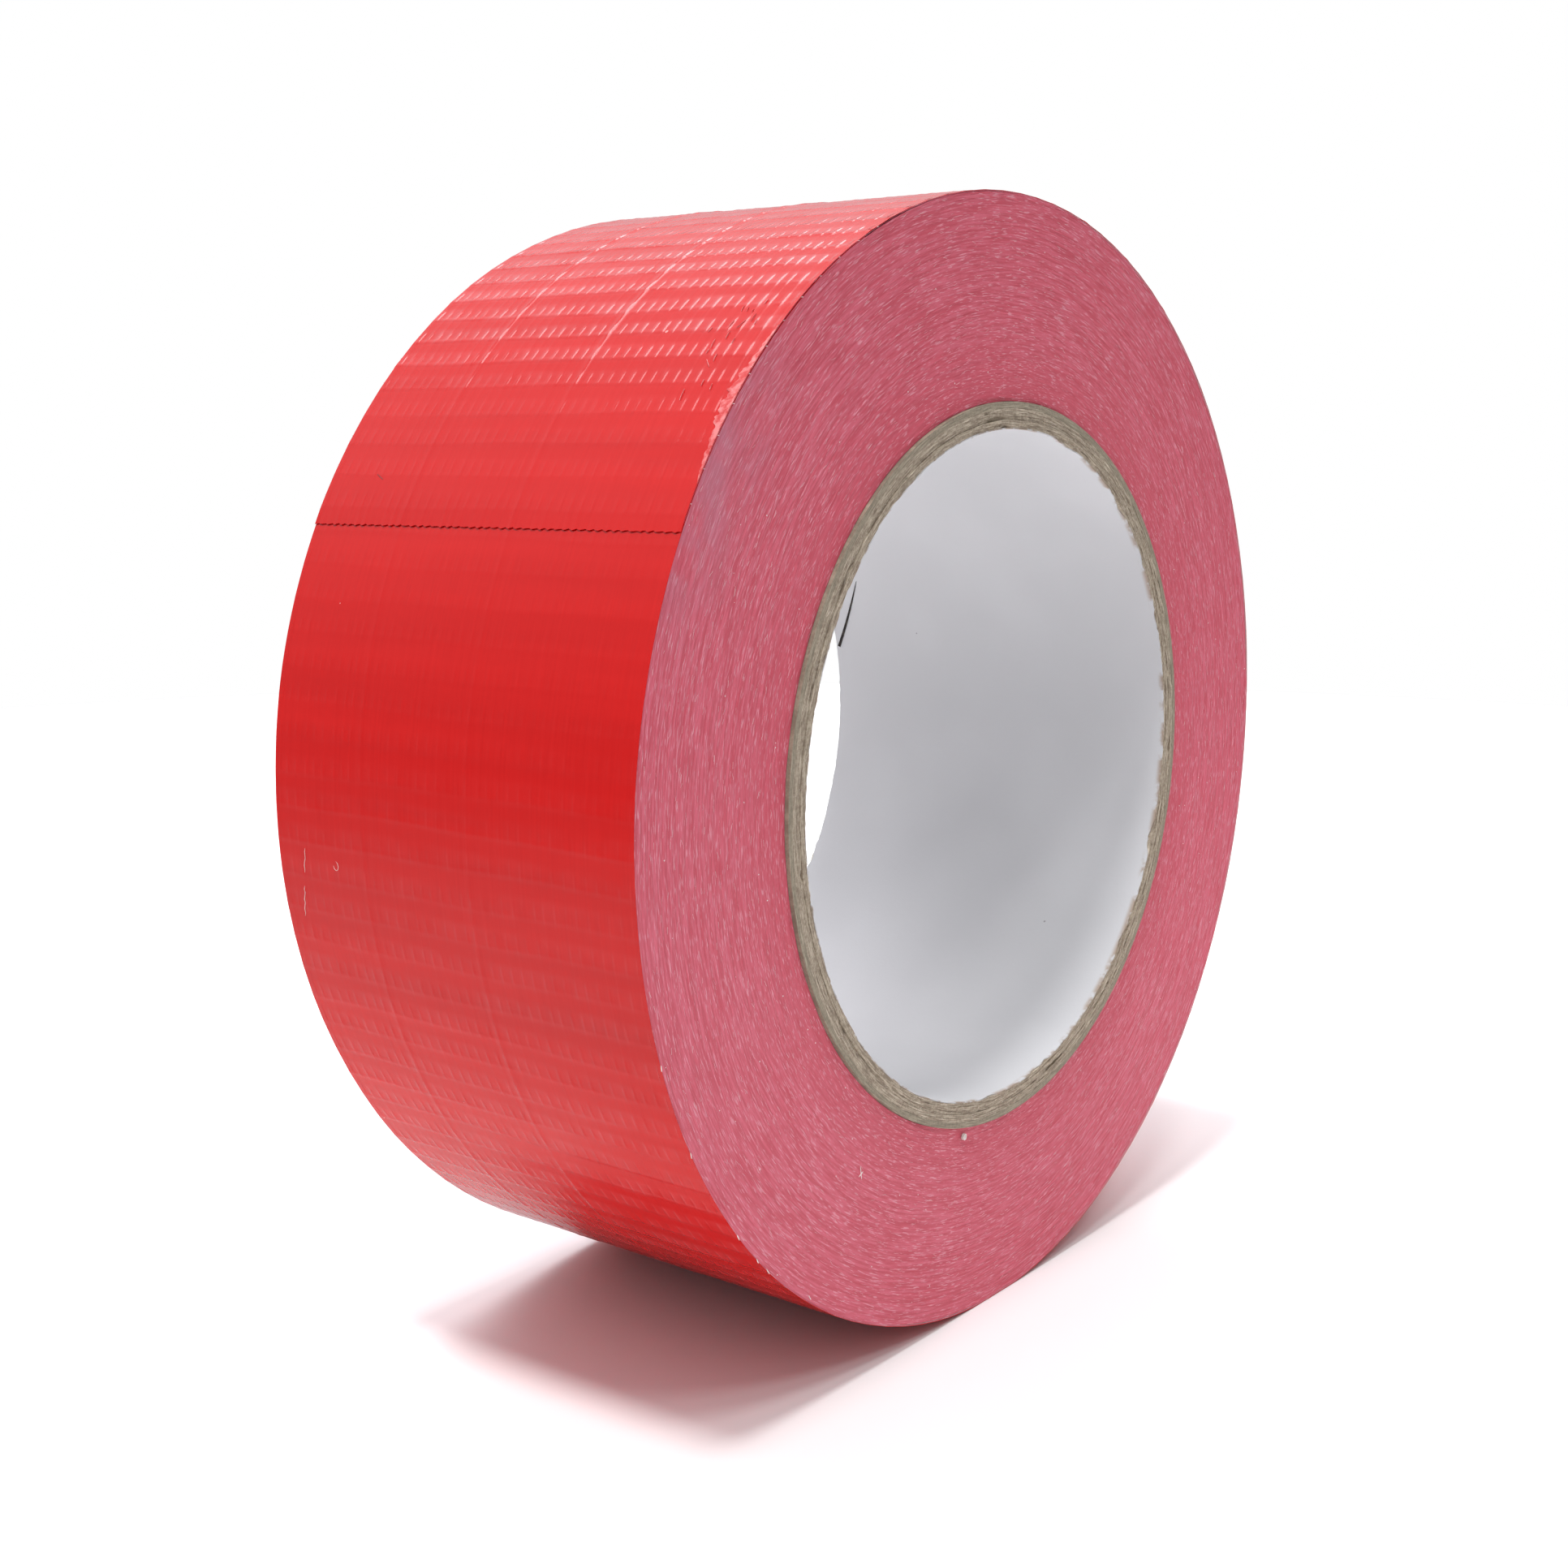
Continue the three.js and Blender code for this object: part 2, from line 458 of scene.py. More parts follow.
def makeFilmMaterial():
    material, tree, shader = startMaterial("red_film", IOR=1.47)
    place = put(tree, "ShaderNodeUVMap", uv_map="tape").outputs[0]  # metres along and across the tape
    weaveBelow = useGroup(tree, weaveRelief)
    drawn = noise(tree, vectorCalc(tree, "MULTIPLY", place, filmFinish["drawnLines"]), 1.0, 3.0, 0.6)
    bands = noise(tree, vectorCalc(tree, "MULTIPLY", place, filmFinish["bands"]), 1.0, 2.0)
    tone = plus(tree, times(tree, drawn, 0.4), times(tree, bands, 0.6))
    tone = remap(tree, tone, 0.30, 0.70, 0.0, 1.0, False)
    colour = blendColour(tree, tone, filmFinish["deepRed"], filmFinish["red"])
    # painted highlight: the pale tone where the weave's glints and reflected bands fall
    colour = tint(tree, colour, filmFinish["pale"], weaveBelow["Painted Highlight"])
    dust = useGroup(tree, specks, Vector=place, **filmFinish["dust"])
    colour = tint(tree, colour, filmFinish["scuff"], dust["Speck"])
    tree.links.new(colour, shader.inputs["Base Color"])
    smoothest, roughest = filmFinish["roughness"] - 0.03, filmFinish["roughness"] + 0.04
    tree.links.new(remap(tree, drawn, 0.3, 0.7, smoothest, roughest, False), shader.inputs["Roughness"])
    height = plus(tree, weaveBelow["Height"], times(tree, drawn, filmFinish["drawnRelief"]))
    height = plus(tree, height, times(tree, bands, filmFinish["bandRelief"]))
    setBump(tree, shader, height, filmFinish["relief"])
    return material


edgeFinish = {
    "pink": (0.745, 0.150, 0.215),
    "red": (0.640, 0.092, 0.136),
    "pale": (0.880, 0.420, 0.500),
    "grey": (0.540, 0.235, 0.320),
    "white": (0.900, 0.780, 0.780),
    "fineStreaks": {"Length": 1.4 * mm, "Width": 0.12 * mm, "Shift": 3.0},
    "longStreaks": {"Length": 5.0 * mm, "Width": 0.24 * mm, "Shift": 11.0},
    "dots": {"Spacing": 1.3 * mm, "Size": 0.075, "Share": 0.30},
    "redder": (42 * mm, 50 * mm),  # radii between which the redder part beside the core ends
    "adhesiveAndSheen": (53 * mm, 63 * mm),  # radii of the grey haze near the rim, adhesive smear with a painted sheen
    "adhesiveAndSheenStart": (40, 52),  # degrees
    "adhesiveAndSheenEnd": (60, 76),
}


def makeEdgeMaterial():
    material, tree, shader = startMaterial("turn_edges", Roughness=0.5, IOR=1.45)
    place = objectPlace(tree)
    fine = useGroup(tree, roundStreaks, **edgeFinish["fineStreaks"])
    long = useGroup(tree, roundStreaks, **edgeFinish["longStreaks"])
    nearCore = remap(tree, fine["Radius"], *edgeFinish["redder"], 1.0, 0.0)
    tone = remap(tree, long["Streak"], 0.35, 0.65)
    tone = times(tree, tone, minus(tree, 1.0, times(tree, nearCore, 0.6)))
    colour = blendColour(tree, tone, edgeFinish["red"], edgeFinish["pink"])
    colour = tint(tree, colour, edgeFinish["pale"], remap(tree, fine["Streak"], 0.57, 0.68), 0.62)
    colour = tint(tree, colour, edgeFinish["red"], remap(tree, fine["Streak"], 0.42, 0.30), 0.6)
    # adhesive smear with a painted sheen: a grey haze on the face near the rim, only between these angles
    # from the top
    started = remap(tree, fine["Angle"], *np.radians(edgeFinish["adhesiveAndSheenStart"]).tolist())
    notEnded = remap(tree, fine["Angle"], *np.radians(edgeFinish["adhesiveAndSheenEnd"]).tolist(), 1.0, 0.0)
    within = times(tree, remap(tree, fine["Radius"], *edgeFinish["adhesiveAndSheen"]), times(tree, started, notEnded))
    adhesiveAndSheen = times(tree, remap(tree, noise(tree, place, 160.0, 3.0), 0.30, 0.60), within)
    colour = tint(tree, colour, edgeFinish["grey"], adhesiveAndSheen, 0.5)
    dots = useGroup(tree, specks, Vector=place, **edgeFinish["dots"])
    colour = tint(tree, colour, edgeFinish["white"], dots["Speck"])
    tree.links.new(colour, shader.inputs["Base Color"])
    setBump(tree, shader, plus(tree, fine["Streak"], times(tree, dots["Speck"], 0.6)), 0.12 * mm, 0.7)
    return material


boardFinish = {  # the board, its dark and its pale fibres
    "outer": ((0.385, 0.335, 0.250), (0.250, 0.215, 0.160), (0.52, 0.46, 0.36)),
    "inner": ((0.530, 0.455, 0.350), (0.270, 0.215, 0.160), (0.76, 0.68, 0.56)),
    "plies": {"Length": 3.0 * mm, "Width": 0.10 * mm, "Shift": 5.0},
}


def makeBoardMaterial(name, board, dark, pale):
    material, tree, shader = startMaterial(name, Roughness=0.9, IOR=1.4)
    plies = useGroup(tree, roundStreaks, **boardFinish["plies"])
    grain = noise(tree, objectPlace(tree), 2600.0, 3.0, 0.65)
    tone = plus(tree, times(tree, plies["Streak"], 0.6), times(tree, grain, 0.4))
    colour = blendColour(tree, remap(tree, tone, 0.38, 0.62), dark, board)
    colour = tint(tree, colour, pale, remap(tree, plies["Streak"], 0.62, 0.72, 0.0, 0.7))
    tree.links.new(colour, shader.inputs["Base Color"])
    setBump(tree, shader, plus(tree, grain, plies["Streak"]), 0.10 * mm, 0.8)
    return material


linerFinish = {
    "white": (0.670, 0.675, 0.690),
    "shade": (0.630, 0.635, 0.650),
    "stain": (0.40, 0.31, 0.24),
    "spot": (0.25, 0.24, 0.25),
    "spots": {"Spacing": 4.5 * mm, "Size": 0.028, "Share": 0.5},
    "stainReach": (0.1 * mm, 0.9 * mm),  # from the front end
}


def makeLinerMaterial():
    material, tree, shader = startMaterial("liner_paper", Roughness=0.62, IOR=1.45)
    place = objectPlace(tree)
    clouds = remap(tree, noise(tree, place, 45.0, 2.0), 0.35, 0.65)
    colour = blendColour(tree, clouds, linerFinish["shade"], linerFinish["white"])
    marks = useGroup(tree, specks, Vector=place, **linerFinish["spots"])
    colour = tint(tree, colour, linerFinish["spot"], marks["Speck"], 0.7)
    nearest, furthest = linerFinish["stainReach"]
    rim = remap(tree, split(tree, place)[1], coreFront + nearest, coreFront + furthest, 1.0, 0.0)
    patches = remap(tree, noise(tree, place, 420.0, 3.0, 0.6), 0.44, 0.60)
    colour = tint(tree, colour, linerFinish["stain"], times(tree, rim, patches))
    tree.links.new(colour, shader.inputs["Base Color"])
    setBump(tree, shader, noise(tree, place, 1500.0, 4.0, 0.65, 0.6), 0.03 * mm, 0.5)
    return material


# two tones mixed by a grain
def makePlainMaterial(name, first, second, fineness, roughness, relief=0.02 * mm):
    material, tree, shader = startMaterial(name, Roughness=roughness)
    grain = noise(tree, objectPlace(tree), fineness, 3.0, 0.6)
    colour = blendColour(tree, remap(tree, grain, 0.35, 0.65), first, second)
    tree.links.new(colour, shader.inputs["Base Color"])
    setBump(tree, shader, grain, relief)
    return material


redFilm = makeFilmMaterial()
turnEdges = makeEdgeMaterial()
outerBoard = makeBoardMaterial("outer_board", *boardFinish["outer"])
innerBoard = makeBoardMaterial("inner_board", *boardFinish["inner"])
linerPaper = makeLinerMaterial()
adhesiveRubber = makePlainMaterial("adhesive", (0.50, 0.46, 0.45), (0.58, 0.54, 0.53), 500.0, 0.32,
                                   0.03 * mm)
yarnCotton = makePlainMaterial("scrim_yarn", (0.66, 0.42, 0.44), (0.86, 0.72, 0.72), 700.0, 0.8, 0.04 * mm)
paperFibre = makePlainMaterial("paper_fibre", (0.36, 0.28, 0.22), (0.74, 0.66, 0.57), 900.0, 0.85)
lintWhite = makePlainMaterial("lint", (0.78, 0.70, 0.66), (0.92, 0.88, 0.86), 2400.0, 0.85)
seamShadow = makePlainMaterial("seam_shadow", (0.020, 0.016, 0.014), (0.050, 0.040, 0.034), 900.0, 0.9)
darkNick = makePlainMaterial("nick", (0.10, 0.02, 0.02), (0.20, 0.03, 0.03), 900.0, 0.6)
scuffedFilm = makePlainMaterial("scuffed_film", (0.62, 0.04, 0.04), (0.78, 0.22, 0.22), 1100.0, 0.2,
                                0.03 * mm)
print("finishes made")


# the film of the last turn and of the loose end
weave = {
    "warpPitch": 1.4 * mm,
    "weftPitch": 3.65 * mm,
    "warpHeight": 0.036 * mm,
    "weftHeight": 0.045 * mm,
    "slack": 0.4,  # how far the film lies flat from weft to weft, 1 being fully
    "strongWarps": {9: 2.2, 20: 2.6},  # number of the yarn from the back rim: how much prouder it lies
    "warpAmounts": (0.45, 1.25),
    "weftAmounts": (0.35, 0.95),
    "everyThird": 0.75,  # how much heavier every third weft is
    "unevenPitch": 0.12 * mm,
    "warpShare": 0.2,  # half width of a yarn's ridge, in shares of its pitch
    "weftShare": 0.13,
    "dashShare": 0.22,
    "betweenCrossings": (0.75, 0.12),  # how far the strongest warps and the others still show there
    "bow": (0.10 * mm, 0.06 * mm),
    "sway": 0.07 * mm,
    "tautAt": (0, 11, 22, 40, 75, 110, 150, 200, 260, 315, 335, 352, 365),  # degrees back from the free end
    "tautShare": (0.35, 0.40, 1.0, 1.3, 1.3, 0.9, 0.8, 1.0, 0.8, 0.55, 0.3, 0.2, 0.25),
    # share of the painted highlight on the weave, by degrees back from the free end: strongest across the top
    # of the roll
    "paintedHighlightAt": (0, 14, 24, 34, 68, 90, 110, 200, 268, 290, 320, 345, 365),
    "paintedHighlightShare": (0.0, 0.1, 0.5, 0.8, 0.85, 0.45, 0.22, 0.20, 0.35, 0.30, 0.15, 0.0, 0.0),
    "seed": 11,
}
depths = {  # of the layers below the tape's nominal surface
    "filmTop": 0.018 * mm,
    "filmUnder": 0.060 * mm,
    "yarnMiddle": 0.092 * mm,
    "yarnRadius": 0.034 * mm,
    "adhesiveTop": 0.064 * mm,
    "adhesiveUnder": 0.112 * mm,
    "backingUnder": 0.145 * mm,
}
columnSteps = (-0.5, -0.2, 0.0, 0.2)
rowSteps = (-0.5, -0.2, -0.07, 0.07, 0.2, 0.34)
bendSteps = np.arange(-0.5, 0.5, 1 / 18)  # closer rows where the film bends
mmPerDegree = rollRadius * math.pi / 180  # length of tape to a degree
dice = np.random.default_rng(weave["seed"])
warpCount = round((tapeBack - tapeFront - 1.0 * mm) / weave["warpPitch"]) + 1
warpCentres = tapeBack - 0.5 * mm - weave["warpPitch"] * np.arange(warpCount)
warpCentres += dice.uniform(-weave["unevenPitch"], weave["unevenPitch"], warpCount)
warpAmount = dice.uniform(*weave["warpAmounts"], warpCount)
for number, amount in weave["strongWarps"].items():
    warpAmount[number] = amount
weftCount = int(np.ceil((tape["endAngle"] - peelAngle + 362) * mmPerDegree / weave["weftPitch"])) + 2
weftPlaces = weave["weftPitch"] * (np.arange(weftCount) - 0.5)
weftPlaces += dice.uniform(-weave["unevenPitch"], weave["unevenPitch"], weftCount)
weftAmount = dice.uniform(*weave["weftAmounts"], weftCount)
weftAmount[::3] += weave["everyThird"]
weftWander = dice.uniform(0, 2 * math.pi, (weftCount, 2))


# slow unevenness of the turns under the film; it shows through every layer
def lumps(angle, across):
    u, v = angle * mmPerDegree / mm, across / mm
    return (0.016 * np.sin(u / 5.1 + 0.6 * np.sin(v / 17.0)) + 0.009 * np.sin(u / 2.9 + v / 21.0 + 1.3)
            + 0.006 * np.sin(v / 3.7 + 0.5 * np.sin(u / 13.0))) * mm


# places along and across the tape, yarn numbers and relief of a stretch of film
def filmSurface(fromAlong, toAlong):
    wefts = [w for w in range(weftCount) if fromAlong < weftPlaces[w] < toAlong]
    peelAlong = (tape["endAngle"] - peelAngle) * mmPerDegree
    rows = []
    for w in range(wefts[0], wefts[-1] + 1):
        bends = peelAlong - tape["bendLength"] - 2 * mm < weftPlaces[w] < peelAlong + 2 * mm
        rows += [w + step for step in (bendSteps if bends else rowSteps)]
    rows = np.array(rows + [wefts[-1] + 0.5])
    along = np.interp(rows, np.arange(weftCount), weftPlaces)
    along[0], along[-1] = fromAlong, toAlong
    columns = np.array([k + step for k in range(warpCount) for step in columnSteps] + [warpCount - 0.5])
    across = np.interp(columns, np.arange(warpCount), warpCentres)
    across[0], across[-1] = tapeBack, tapeFront
    along, across = np.meshgrid(along, across, indexing="ij")
    nearestWeft = np.clip(np.round(rows).astype(int), 0, weftCount - 1)
    phase = weftWander[nearestWeft]
    longBow, shortBow = weave["bow"]
    bow = longBow * np.sin(across / (9 * mm) + phase[:, :1])
    bow += shortBow * np.sin(across / (3.5 * mm) + phase[:, 1:])
    bow[[0, -1]] = 0
    along = along + bow
    nearestWarp = np.clip(np.round(columns).astype(int), 0, warpCount - 1)
    sway = weave["sway"] * np.sin(along / (23 * mm) + warpAmount[nearestWarp] * 9)
    sway[:, [0, -1]] = 0
    across = across + sway
    weftOffset = np.abs(rows - np.round(rows))[:, None]
    warpOffset = np.abs(columns - np.round(columns))[None, :]
    sag = weave["weftPitch"] ** 2 / (8 * rollRadius) * weave["slack"]
    flat = -sag * (1 - (1 - 2 * weftOffset) ** 2)
    uneven = 0.62 + 0.25 * np.sin(across / (5.2 * mm) + phase[:, :1])
    uneven += 0.2 * np.sin(across / (1.9 * mm) + phase[:, 1:])
    weftRelief = weave["weftHeight"] * weftAmount[nearestWeft][:, None]
    weftRelief = weftRelief * np.exp(-(weftOffset / weave["weftShare"]) ** 2)
    fromCrossing = (rows - np.round(rows) - weaveLook["dashShift"] + 0.5) % 1 - 0.5
    between = np.where(warpAmount[nearestWarp] > 1.5, *weave["betweenCrossings"])
    nearWeft = between + (1 - between) * np.exp(-(fromCrossing[:, None] / weave["dashShare"]) ** 2)
    warpRelief = weave["warpHeight"] * warpAmount[nearestWarp]
    warpRelief = warpRelief * np.exp(-(warpOffset / weave["warpShare"]) ** 2) * nearWeft
    warpRelief *= 0.9 + 0.7 * (across - tapeFront) / (tapeBack - tapeFront)  # prouder at the back
    back = along / mmPerDegree
    taut = np.interp(back, weave["tautAt"], weave["tautShare"])  # a taut film hides the yarns
    # share of the painted highlight on the weave at each row
    pale = np.interp(back, weave["paintedHighlightAt"], weave["paintedHighlightShare"])
    relief = (flat + weftRelief * uneven + warpRelief) * taut - depths["filmTop"]
    yarns = np.stack(np.meshgrid(rows, columns, indexing="ij"), axis=-1)
    return along, across, relief, yarns, np.stack([taut, pale], axis=-1)


# how far the pinked edge lies back from the free end's foremost point
def cutEdge(across):
    tilt = (across - tapeFront) * math.tan(math.radians(tape["cutTilt"]))
    wave = np.abs(((across / tape["toothPitch"]) % 1) * 2 - 1)
    return tape["toothDepth"] * (wave - 0.5) - tilt


def endDrop(along, across):
    grip = 0.60 + 0.40 * np.cos(2 * math.pi * across / tape["toothPitch"] + 1.0)  # the teeth's tips sink most
    return -tape["endDrop"] * grip * np.clip(1 - along / tape["dropReach"], 0, 1) ** 2


def filmShell(name, fromAlong, toAlong, cut=False):
    along, across, relief, yarns, shares = filmSurface(fromAlong, toAlong)
    drop = endDrop(along, across) if cut else 0
    if cut:
        along = along + cutEdge(across) * np.clip(1 - along / tape["cutReach"], 0, 1)
    angle = tape["endAngle"] - along / mmPerDegree
    base = tapeRadius(tape["endAngle"] - angle) + lumps(angle, across) + drop
    outside = around(angle, pressed(base + relief, angle), across)
    inside = around(angle, pressed(base - depths["filmUnder"], angle), across)
    rows, columns = along.shape
    edge = np.arange(columns) if cut else np.arange(0, columns, len(columnSteps))
    points = np.concatenate([outside.reshape(-1, 3), inside[:, edge].reshape(-1, 3)])
    uvTape = np.stack([along, across], axis=-1)
    uvs = {}
    for label, values in (("tape", uvTape), ("yarns", yarns), ("shares", shares)):
        uvs[label] = np.concatenate([values.reshape(-1, 2), values[:, edge].reshape(-1, 2)])
    faces = gridFaces(rows, columns)
    below = rows * columns
    count = len(edge)
    faces += [face[::-1] for face in gridFaces(rows, count, start=below)]
    for r in range(rows - 1):
        a, b = r * columns, (r + 1) * columns
        c, d = below + r * count, below + (r + 1) * count
        faces.append((b, a, c, d))
        faces.append((a + columns - 1, b + columns - 1, d + count - 1, c + count - 1))
    for row, flip in ((0, False), (rows - 1, True)):
        for k in range(count - 1):
            over = [row * columns + c for c in range(edge[k], edge[k + 1] + 1)]
            under = [below + row * count + k + 1, below + row * count + k]
            strip = over + under
            faces.append(tuple(strip if flip else reversed(strip)))
    return solidFrom(name, points, faces, redFilm, uvs)


# a plain layer of the tape from one depth to another
def bandShell(name, angles, across, over, under, material, cut=False):
    angle = np.asarray(angles)[:, None]
    side = np.asarray(across)[None, :]
    steps, columns = len(angles), len(across)
    if cut:
        along = (tape["endAngle"] - angle) * mmPerDegree
        over = over - endDrop(along, side)
        under = np.maximum(under, over + 0.006 * mm)
        angle = angle - cutEdge(side) * np.clip(1 - along / tape["cutReach"], 0, 1) / mmPerDegree
    base = tapeRadius(tape["endAngle"] - angle) + lumps(angle, side)
    outside = around(angle, pressed(base - over, angle), side)
    inside = around(angle, pressed(base - under, angle), side)
    loop = np.concatenate([outside, inside[:, ::-1]], axis=1)
    count = 2 * columns
    made = solidFrom(name, loop, rodFaces(steps, count), material)
    made.data.materials.append(turnEdges)  # on the cut sides
    for number in range((steps - 1) * count):
        made.data.polygons[number].material_index = int(number % count in (columns - 1, count - 1))
    return made


hiddenAngle = -100  # the two stretches of film meet on the far side
seamWeft = int(round((tape["endAngle"] - hiddenAngle) * mmPerDegree / weave["weftPitch"]))
hiddenSeam = (weftPlaces[seamWeft] + weftPlaces[seamWeft + 1]) / 2
wholeTurn = (tape["endAngle"] - peelAngle + 359.9) * mmPerDegree


def rideLooseEnd(piece):
    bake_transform(piece)


looseFilm = filmShell("loose_end_film", 0.0, hiddenSeam, cut=True)
rideLooseEnd(looseFilm)
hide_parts("tail_film")
turnFilm = filmShell("last_turn_film", hiddenSeam, wholeTurn)
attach(turnFilm, "roll")
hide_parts("outer_turn_film")
print("film made:", len(looseFilm.data.polygons), len(turnFilm.data.polygons))

inset = 0.02 * mm
bandSides = np.linspace(tapeBack - inset, tapeFront + inset, 9)
turnBacking = bandShell("last_turn_backing", np.linspace(peelAngle, peelAngle - 359.8, 361), bandSides,
                        depths["filmUnder"] + 0.004 * mm, depths["backingUnder"], adhesiveRubber)
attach(turnBacking, "roll")
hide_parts("outer_turn_scrim", "outer_turn_adhesive")
bendStart = peelAngle + tape["bendLength"] / mmPerDegree + 0.5
looseAngles = np.concatenate([np.linspace(tape["endAngle"] - 0.3, tape["endAngle"] - 3, 12, endpoint=False),
                              np.linspace(tape["endAngle"] - 3, bendStart, 44, endpoint=False),
                              np.linspace(bendStart, peelAngle - 0.5, 26, endpoint=False),
                              np.linspace(peelAngle - 0.5, peelAngle - 6, 8)])
toothSides = np.linspace(tapeBack - inset, tapeFront + inset, 145)  # close enough to follow the cut's teeth
looseAdhesive = bandShell("loose_end_adhesive", looseAngles, toothSides, depths["adhesiveTop"],
                          depths["adhesiveUnder"], adhesiveRubber, cut=True)
rideLooseEnd(looseAdhesive)
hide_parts("tail_adhesive")


# straight yarns both ways, wrapped round the roll just under the film
def makeYarnNet():
    inputs = {"Warp Count": 36, "Weft Count": 12, "Warp Pitch": 1.4 * mm, "Weft Pitch": 3.65 * mm,
              "Yarn Radius": 0.03 * mm, "Radius": 0.06, "Start Angle": 0.0, "Middle": 0.0,
              "Wander": 0.08 * mm}
    tree, given, result = groupOf("yarnNet", "GeometryNodeTree", inputs)
    length = times(tree, given["Weft Count"], given["Weft Pitch"])
    width = times(tree, given["Warp Count"], given["Warp Pitch"])
    profile = put(tree, "GeometryNodeCurvePrimitiveCircle")
    profile.inputs["Resolution"].default_value = 6
    tree.links.new(given["Yarn Radius"], profile.inputs["Radius"])
    nets = []
    for count, pitch, reach, alongTape in ((given["Warp Count"], given["Warp Pitch"], length, True),
                                           (given["Weft Count"], given["Weft Pitch"], width, False)):
        points = put(tree, "GeometryNodePoints", count)
        index = put(tree, "GeometryNodeInputIndex").outputs[0]
        place = times(tree, plus(tree, index, 0.5), pitch)
        half = times(tree, times(tree, count, pitch), 0.5)
        centred = minus(tree, place, half)
        spot = vectorOf(tree, 0.0 if alongTape else place, centred if alongTape else 0.0, 0.0)
        moved = put(tree, "GeometryNodeSetPosition", points.outputs[0], None, spot)
        far = vectorOf(tree, reach if alongTape else 0.0, 0.0 if alongTape else reach, 0.0)
        near = vectorCalc(tree, "MULTIPLY", far, (0.0, -0.5, 0.0))
        farEnd = vectorCalc(tree, "MULTIPLY", far, (1.0, 0.5, 1.0))
        line = put(tree, "GeometryNodeCurvePrimitiveLine", near, farEnd)
        fine = put(tree, "GeometryNodeResampleCurve")
        tree.links.new(line.outputs[0], fine.inputs["Curve"])
        fine.inputs["Count"].default_value = 160 if alongTape else 48
        copies = put(tree, "GeometryNodeInstanceOnPoints", moved.outputs[0])
        tree.links.new(fine.outputs[0], copies.inputs["Instance"])
        nets.append(put(tree, "GeometryNodeRealizeInstances", copies.outputs[0]).outputs[0])
    both = tree.nodes.new("GeometryNodeJoinGeometry")
    for net in nets:
        tree.links.new(net, both.inputs[0])
    flatPlace = put(tree, "GeometryNodeInputPosition").outputs[0]
    wave = put(tree, "ShaderNodeTexNoise")
    tree.links.new(vectorCalc(tree, "MULTIPLY", flatPlace, (160.0, 900.0, 1.0)), wave.inputs["Vector"])
    wave.inputs["Scale"].default_value = 1.0
    drift = vectorCalc(tree, "SUBTRACT", wave.outputs["Color"], (0.5, 0.5, 0.5))
    parts = split(tree, vectorCalc(tree, "ADD", flatPlace, scaledBy(tree, drift, given["Wander"])))
    angle = minus(tree, given["Start Angle"], divided(tree, parts[0], given["Radius"]))
    wrapped = onRoll(tree, angle, given["Radius"], plus(tree, parts[1], given["Middle"]))
    bent = put(tree, "GeometryNodeSetPosition", both.outputs[0], None, wrapped)
    tubes = put(tree, "GeometryNodeCurveToMesh", bent.outputs[0], profile.outputs[0])
    tubes.inputs["Fill Caps"].default_value = True
    finishTree(tree, tubes.outputs[0], given, result)
    return tree


looseScrim = fromTree("loose_end_scrim", makeYarnNet(), {
    "Warp Count": warpCount, "Weft Count": 12, "Warp Pitch": weave["warpPitch"],
    "Weft Pitch": weave["weftPitch"], "Yarn Radius": depths["yarnRadius"],
    "Radius": tapeRadius(15) - depths["yarnMiddle"], "Start Angle": math.radians(tape["endAngle"] - 0.9),
    "Middle": tapeMiddle, "Wander": 0.12 * mm, "Material": yarnCotton})
rideLooseEnd(looseScrim)
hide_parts("tail_scrim")
print("backing and scrim made:", len(looseScrim.data.polygons))


# the turns below, which show as rings on both sides
turns = {
    "count": 150,
    "segments": 200,
    "wander": 0.12 * mm,  # how unevenly the turns' edges lie
    "gapBelowFilm": 0.160 * mm,
    "edgeShare": 0.86,  # of a turn's thickness that its edge fills
    # how fine, how far it changes from turn to turn, and how much
    "unevenness": ((22.0, 7.3, 0.55), (7.0, 0.31, 0.5), (2.0, 0.06, 0.6)),
}


